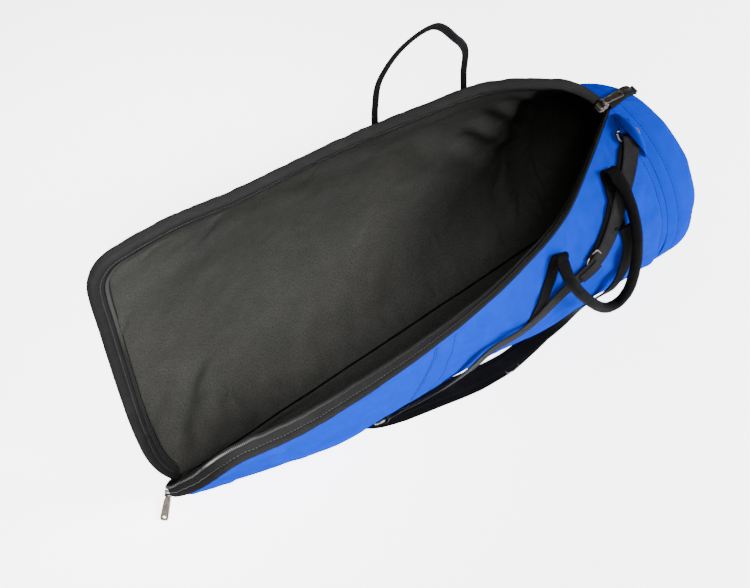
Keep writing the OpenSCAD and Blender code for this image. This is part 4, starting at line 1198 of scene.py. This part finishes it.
# the lower run is doubled: a second layer lies under it, a little further out
i9 = 14 * 8
q9 = lo_p[i9:] + np.array([0, 0, -2.9])
h9 = np.clip(np.arange(len(q9)) / 50, 0, 1)[:, None]
out9 = lo_w[i9:] * np.sign((lo_w[i9:] * np.array([0.3, -1.0, 0])).sum(1, keepdims=True))
q9 = q9 + out9 * (8.0 * h9 * h9[::-1])
q9[:, 2] = np.maximum(q9[:, 2], 1.4)
in9 = lo_p[i9 - 28:] + np.array([0, 0, -1.7])
e9 = np.clip(np.minimum(np.arange(len(in9)), np.arange(len(in9))[::-1]) / 40, 0, 1)[:, None]
in9 = in9 - lo_w[i9 - 28:] * np.sign((lo_w[i9 - 28:] * np.array([0.3, -1.0, 0])).sum(1, keepdims=True)) * (8.0 * e9)
in9[:, 2] = np.maximum(in9[:, 2], 2.2)
place(ribbon("strap_lower_inner_web", in9, lo_w[i9 - 28:], 20, 1.5, M_WEB2, 0.1, 0.5, 115), "case", "webbing")
place(ribbon("strap_lower_return_web", q9, lo_w[i9:], 22, 1.7, M_WEB2, 0.1, 0.6, 113), "case", "webbing")


def adjuster_parts(left, right, top):
    """bent wire slide: a rounded frame with its long sides dipped, and a middle bar under the webbing"""
    ring = rounded([(-11.5, left), (11.5, left), (11.5, right), (-11.5, right)], 3.0, 8)
    dip = lambda y: min(1, max(0, max((left + 2.4 - y) / 2.0, (y - right + 2.4) / 2.0)))
    P = np.array([(x, y, top - (top + 4.1) * math.exp(-((x / 5.2) ** 2)) * dip(y)) for x, y in resample(np.array(ring + ring[:1]), 1.0)[:-1]])
    out = [tube("frame", P, 1.2, M_METAL, 12, closed=True)]
    out.append(tube("bar", np.array([[0, y, -4.4] for y in np.linspace(left + 0.2, right - 0.2, 7)]), 1.2, M_METAL, 12))
    for y in (left, right):
        out.append(tube("eye", np.array([[x, y, -4.2 + 0.25 * abs(x)] for x in (-2.2, -1, 0, 1, 2.2)]), 1.55, M_METAL, 12))
    return out


c3u, c3l = cr3(UP, 3), cr3(LP, 3)
for nm, c3, nn, i, dims in (("upper", c3u, cr3(UN, 3), 21, (-14.2, 8.5, -0.6)), ("lower", c3l, cr3(LN, 3), 30, (-9.0, 14.6, -1.9))):
    dd = unit(c3[i + 1] - c3[i - 1])
    metal_object("strap_adjuster_" + nm, adjuster_parts(*dims), frame_at(c3[i], dd, np.cross(dd, nn[i])), "adjuster_" + nm, "adjuster_" + nm)


# ------------------------------------------------------------------ carry handles
def sewn_leg(name, W, sa, ta, sb, tb, body, node, width=20.0):
    u = np.linspace(0, 1, 70)
    S_, T_ = sa + (sb - sa) * u, ta + (tb - ta) * u
    P, Nn = W.at(S_, T_)
    P = resample(soften(P + Nn * 1.7, 3), 2.0)
    k = np.linspace(0, len(Nn) - 1, len(P))
    Nn = unit(np.stack([np.interp(k, np.arange(len(Nn)), Nn[:, c]) for c in range(3)], 1))
    W_ = np.cross(tangents(P), Nn)
    o = ribbon(name, P, W_, width, 2.0, M_WEB2, 0.12, 0.35, 121)
    place(o, body, "webbing", node)
    d, w, u = frames_along(P, W_)
    u = u * np.sign((u[4] * Nn[4]).sum())
    rows, h, n = [], width / 2 - 2.2, len(P)
    for e in (-h, h):
        rows.append(stitches(P + w * e + u * 1.2, u, 2.8, 1.3, 0.65, 0.65, 0.1))
    b = min(11, n // 2 - 1)
    for i0, i1 in ((1, 1 + b), (n - 2 - b, n - 2)):
        for e0, e1 in ((-h, h), (h, -h)):
            e = np.linspace(e0, e1, i1 - i0)[:, None]
            rows.append(stitches(P[i0:i1] + w[i0:i1] * e + u[i0:i1] * 1.25, u[i0:i1], 2.6, 1.2, 0.65, 0.65, 0.1))
        for i in (i0, i1):
            q = P[i] + np.linspace(-h, h, 20)[:, None] * w[i] + u[i] * 1.25
            rows.append(stitches(q, np.tile(u[i], (20, 1)), 2.6, 1.2, 0.65, 0.65, 0.1))
    place(stitch_object(name + "_stitches", rows, M_THREAD), body, "webbing")
    return P, w, u


GQ = np.array([[560, 0.926, 15], [559, 0.895, 20], [564, 0.838, 24], [589, 0.718, 27], [622, 0.599, 29], [649, 0.551, 29], [661, 0.585, 28], [667, 0.635, 26], [673, 0.695, 24],
               [681, 0.759, 21], [687, 0.821, 18.5], [691, 0.878, 17], [691, 0.916, 15.5]], float)
GRIP = wall(-1, GQ[:, 0], GQ[:, 1], -GQ[:, 2])
legs = [sewn_leg("near_leg_left_web", near_o, 508.0, 0.735, 559.0, 0.914, "case", "near_leg_left"),
        sewn_leg("near_leg_right_web", near_o, 668.0, 0.80, 687.0, 0.933, "case", "near_leg_right")]
sewn_leg("far_leg_left_web", far_o, 445.0, 0.6, 445.0, 0.915, "far_flap", "far_leg_left")
sewn_leg("far_leg_right_web", far_o, 580.0, 0.6, 580.0, 0.915, "far_flap", "far_leg_right")


def grip():
    P = resample(cr3(GRIP, 12), 2.0)
    ln = arc(P)
    d = tangents(P)
    w = np.empty_like(P)
    w0, w1 = np.cross(d[0], near_in(560.0, 0.926)[0]), np.cross(d[-1], near_in(691.0, 0.916)[0])
    w[0] = unit(w0 - d[0] * (w0 @ d[0]))
    for i in range(1, len(P)):
        w[i] = unit(w[i - 1] - d[i] * (w[i - 1] @ d[i]))
    end = unit(w1 - d[-1] * (w1 @ d[-1]))
    tw = math.atan2(float(np.cross(w[-1], end) @ d[-1]), float(w[-1] @ end))
    if tw > math.pi / 2:
        tw -= math.pi
    if tw < -math.pi / 2:
        tw += math.pi
    th = tw * ln / ln[-1]
    u = np.cross(d, w)
    w, u = w * np.cos(th)[:, None] + u * np.sin(th)[:, None], u * np.cos(th)[:, None] - w * np.sin(th)[:, None]
    e = np.clip(np.minimum(ln, ln[-1] - ln) / 30, 0, 1)
    e = e * e * (3 - 2 * e)
    a, b = 10.0 + (7.5 - 10.0) * e, 1.6 + (7.5 - 1.6) * e
    k = 36
    ph = np.linspace(0, 2 * math.pi, k, endpoint=False)
    lip = 1 + 0.055 * np.clip(((ph - 4.2) % (2 * math.pi)) / (2 * math.pi), 0, 1) ** 3
    wr = 1 + 0.030 * noise2(ln[:, None] / 7, ph[None] * 2.2, 131) + 0.022 * noise2(ln[:, None] / 3.2, ph[None] * 1.1, 135) + 0.02 * noise2(ln[:, None] / 40, ph[None] * 1.2, 133)
    V = P[:, None] + w[:, None] * (a[:, None] * np.cos(ph)[None] * lip[None] * wr)[..., None] + u[:, None] * (b[:, None] * np.sin(ph)[None] * lip[None] * wr)[..., None]
    uv = np.stack(np.broadcast_arrays(ln[:, None], (ph * 9)[None]), -1)
    o = grid_object("near_grip_roll", V, M_WEB2, uv, wrap=True, flip=True, caps=True)
    place(o, "near_grip", "webbing", "near_grip")
    c, s_ = math.cos(4.0), math.sin(4.0)
    q = P + w * (a * c * 1.0)[:, None] + u * (b * s_ * 1.0)[:, None]
    nn = unit(w * c + u * s_)
    place(stitch_object("near_grip_stitches", [stitches(q[16:-16], nn[16:-16], 3.0, 1.4, 0.7, 0.7, 0.15)], M_THREAD), "near_grip", "webbing")
    # fold caps: the webbing comes up the wall, turns over in a rounded stitched fold and goes into the roll
    for nm, (LP_, lw_, lu_), i, sg in (("left", legs[0], 0, 1), ("right", legs[1], -1, -1)):
        e0, e1 = LP_[-1], P[i]
        n_out = -near_in(*GQ[i, :2])[0]
        rise = unit(LP_[-1] - LP_[-6])
        gw = w[i] * np.sign(w[i] @ lw_[-1])
        gdir = d[i] * sg
        ax, mid = unit(e1 - e0), (e0 + e1) / 2
        r = np.linalg.norm(e1 - e0) / 2
        th9 = np.radians(np.linspace(180, 0, 15))[:, None]
        C = mid + ax * (r * np.cos(th9)) + rise * ((r + 3.5) * np.abs(np.sin(th9)) ** 0.8)
        C = np.concatenate([[LP_[-6] + n_out * 0.9, LP_[-3] + n_out * 0.7], C, [e1 + gdir * 5.0, e1 + gdir * 10.0]])
        C = soften(resample(cr3(C, 6), 1.2), 1.5)
        Wc = np.tile(unit(lw_[-1] + gw), (len(C), 1))
        place(ribbon("near_cap_" + nm, C, Wc, 18.5, 2.4, M_WEB2, 0.2, 0.3, 151), "case", "webbing")
        dc, wc, uc = frames_along(C, Wc)
        out = uc * np.sign((uc * (C - (e0 + e1) / 2)).sum(1, keepdims=True))
        n7 = int(len(C) * 0.62)
        rows = [stitches((C + wc * x + out * 1.5)[:n7], out[:n7], 2.6, 1.2, 0.7, 0.7, 0.1) for x in (-8, 8)]
        for j in (int(len(C) * 0.3), int(len(C) * 0.6)):
            qq = C[j] + np.linspace(-8, 8, 16)[:, None] * wc[j] + out[j] * 1.6
            rows.append(stitches(qq, np.tile(out[j], (16, 1)), 2.4, 1.1, 0.7, 0.7, 0.1))
        place(stitch_object("near_cap_" + nm + "_stitches", rows, M_THREAD), "case", "webbing")


grip()

fa, fb = wall(1, 445.0, 0.93, -9.4), wall(1, 580.0, 0.93, -9.4)
z4 = np.array([0, 0, 4.0])
LOOP = [fa - z4, fa + [2, 2, 30], fa + [6, -2, 84], fa + [30, -12, 136], (fa + fb) / 2 + [-2, -18, 168], fb + [-38, -14, 136], fb + [-10, -4, 84], fb + [-2, 2, 30], fb - z4]
lp = resample(cr3(LOOP, 12), 2.0)
lw = np.cross(tangents(lp), np.tile([0, 1, 0.1], (len(lp), 1)))
# the far handle uses the half-dark webbing copy: painted shade
o_fh = ribbon("far_handle_web", lp, lw, 10.0, 2.2, M_WEB3, 0.3, 0.3, 141)
place(o_fh, "far_handle", "webbing", "far_handle")
d, w, u = frames_along(lp, lw)
rows = [stitches(lp + w * e + u * sg * 1.35, u * sg, 2.8, 1.3, 0.6, 0.6, 0.1) for e in (-3.3, 3.3) for sg in (1, -1)]
place(stitch_object("far_handle_stitches", rows, M_THREAD), "far_handle", "webbing")

# ------------------------------------------------------------------ seams on the blue cloth
rows_n, rows_f = [], []
tq = np.linspace(0.03, 0.965, 240)
for W, rows in ((near_o, rows_n), (far_o, rows_f)):
    for k in range(3):
        P, Nn = W.at(seam(tq, k), tq)
        rows.append(stitches(P, Nn, 3.4, 0.5 if k == 0 else 1.6, 1.0, 0.8, 0.15))
    P, Nn = W.at(np.full_like(tq, 747.0), tq)
    rows.append(stitches(P, Nn, 3.2, 1.4, 0.9, 0.8, 0.15))
place(stitch_object("near_seam_stitches", rows_n, M_NAVY), "case", "blue_fabric")
bend(stitch_object("far_seam_stitches", rows_f, M_NAVY), "blue_fabric")
i = int(np.argmin(np.abs(a - 8.5)))
P = np.concatenate([DOME[i], DOME[i][:1]])
Nn = np.concatenate([N[i], N[i][:1]])
place(stitch_object("dome_seam_stitches", [stitches(P, Nn, 3.2, 1.4, 0.9, 0.8, 0.15)], M_NAVY), "case", "blue_fabric")


def area_of(o):
    return sum(p.area for p in o.data.polygons)


for o, flat in ((o_nlin, (0.50, 0.80)), (o_flin, (0.56, 0.80)), (o_dlin, (0.46, 0.40))):
    ar = area_of(o)

# ------------------------------------------------------------------ stage, light and camera
me = bpy.data.meshes.new("floor")
bm = bmesh.new()
bmesh.ops.create_grid(bm, x_segments=4, y_segments=4, size=6)
bm.to_mesh(me)
bm.free()
floor = bpy.data.objects.new("floor", me)
SCN.collection.objects.link(floor)
nf = Nodes("pale_floor")
nf.link(nf.mix(nf.noise(nf.obj(), 3.0, 3), (0.93, 0.93, 0.93), (0.95, 0.95, 0.95)), nf.b.inputs["Base Color"])
nf.b.inputs["Roughness"].default_value = 0.9
nf.b.inputs["Specular IOR Level"].default_value = 0.1
nf.b.inputs["Emission Color"].default_value = (1.0, 1.0, 1.0, 1)
nf.b.inputs["Emission Strength"].default_value = 3.2
me.materials.append(nf.mat)

world = bpy.data.worlds.new("soft_studio")
SCN.world = world
world.use_nodes = True
bg = world.node_tree.nodes["Background"]
bg.inputs[0].default_value = (1.0, 1.0, 1.0, 1)
bg.inputs[1].default_value = 0.22


def area_light(name, pos, target, size, power, color=(1, 1, 1)):
    li = bpy.data.lights.new(name, "AREA")
    li.shape, li.size, li.energy, li.color = "DISK", size, power, color
    o = bpy.data.objects.new(name, li)
    o.location = pos
    o.rotation_mode = "QUATERNION"
    o.rotation_quaternion = (Vector(target) - Vector(pos)).to_track_quat("-Z", "Y")
    SCN.collection.objects.link(o)
    return o


area_light("key", (1.5, -1.55, 2.05), (0.05, 0.0, 0.2), 1.0, 192)
area_light("top", (-0.3, 0.3, 3.0), (-0.1, 0, 0.1), 2.4, 34)
left = bpy.data.lights.new("left", "SPOT")
left.energy, left.spot_size, left.spot_blend, left.shadow_soft_size = 620, math.radians(35), 1.0, 0.3
o = bpy.data.objects.new("left", left)
o.location = (-0.62, -0.72, 2.05)
o.rotation_mode = "QUATERNION"
o.rotation_quaternion = (Vector((-0.33, 0.16, 0.25)) - o.location).to_track_quat("-Z", "Y")
SCN.collection.objects.link(o)
area_light("fill", (0.2, -2.6, 1.1), (0.1, 0, 0.2), 1.6, 35)

cam = bpy.data.cameras.new("camera")
cam.sensor_width, cam.lens = 36.0, 48.0
cam.clip_start, cam.clip_end = 0.01, 60
co = bpy.data.objects.new("camera", cam)
r_, u_, w_ = Vector((0.8120, -0.5837, 0)), Vector((0.5277, 0.7340, 0.4276)), Vector((0.2496, 0.3472, -0.9040))
Mx = Matrix.Identity(4)
for k in range(3):
    Mx[k][0], Mx[k][1], Mx[k][2] = r_[k], u_[k], -w_[k]
Mx.translation = Vector((-0.3563, -0.4596, 1.4414))
co.matrix_world = Mx
SCN.collection.objects.link(co)
SCN.camera = co

bpy.context.view_layer.update()
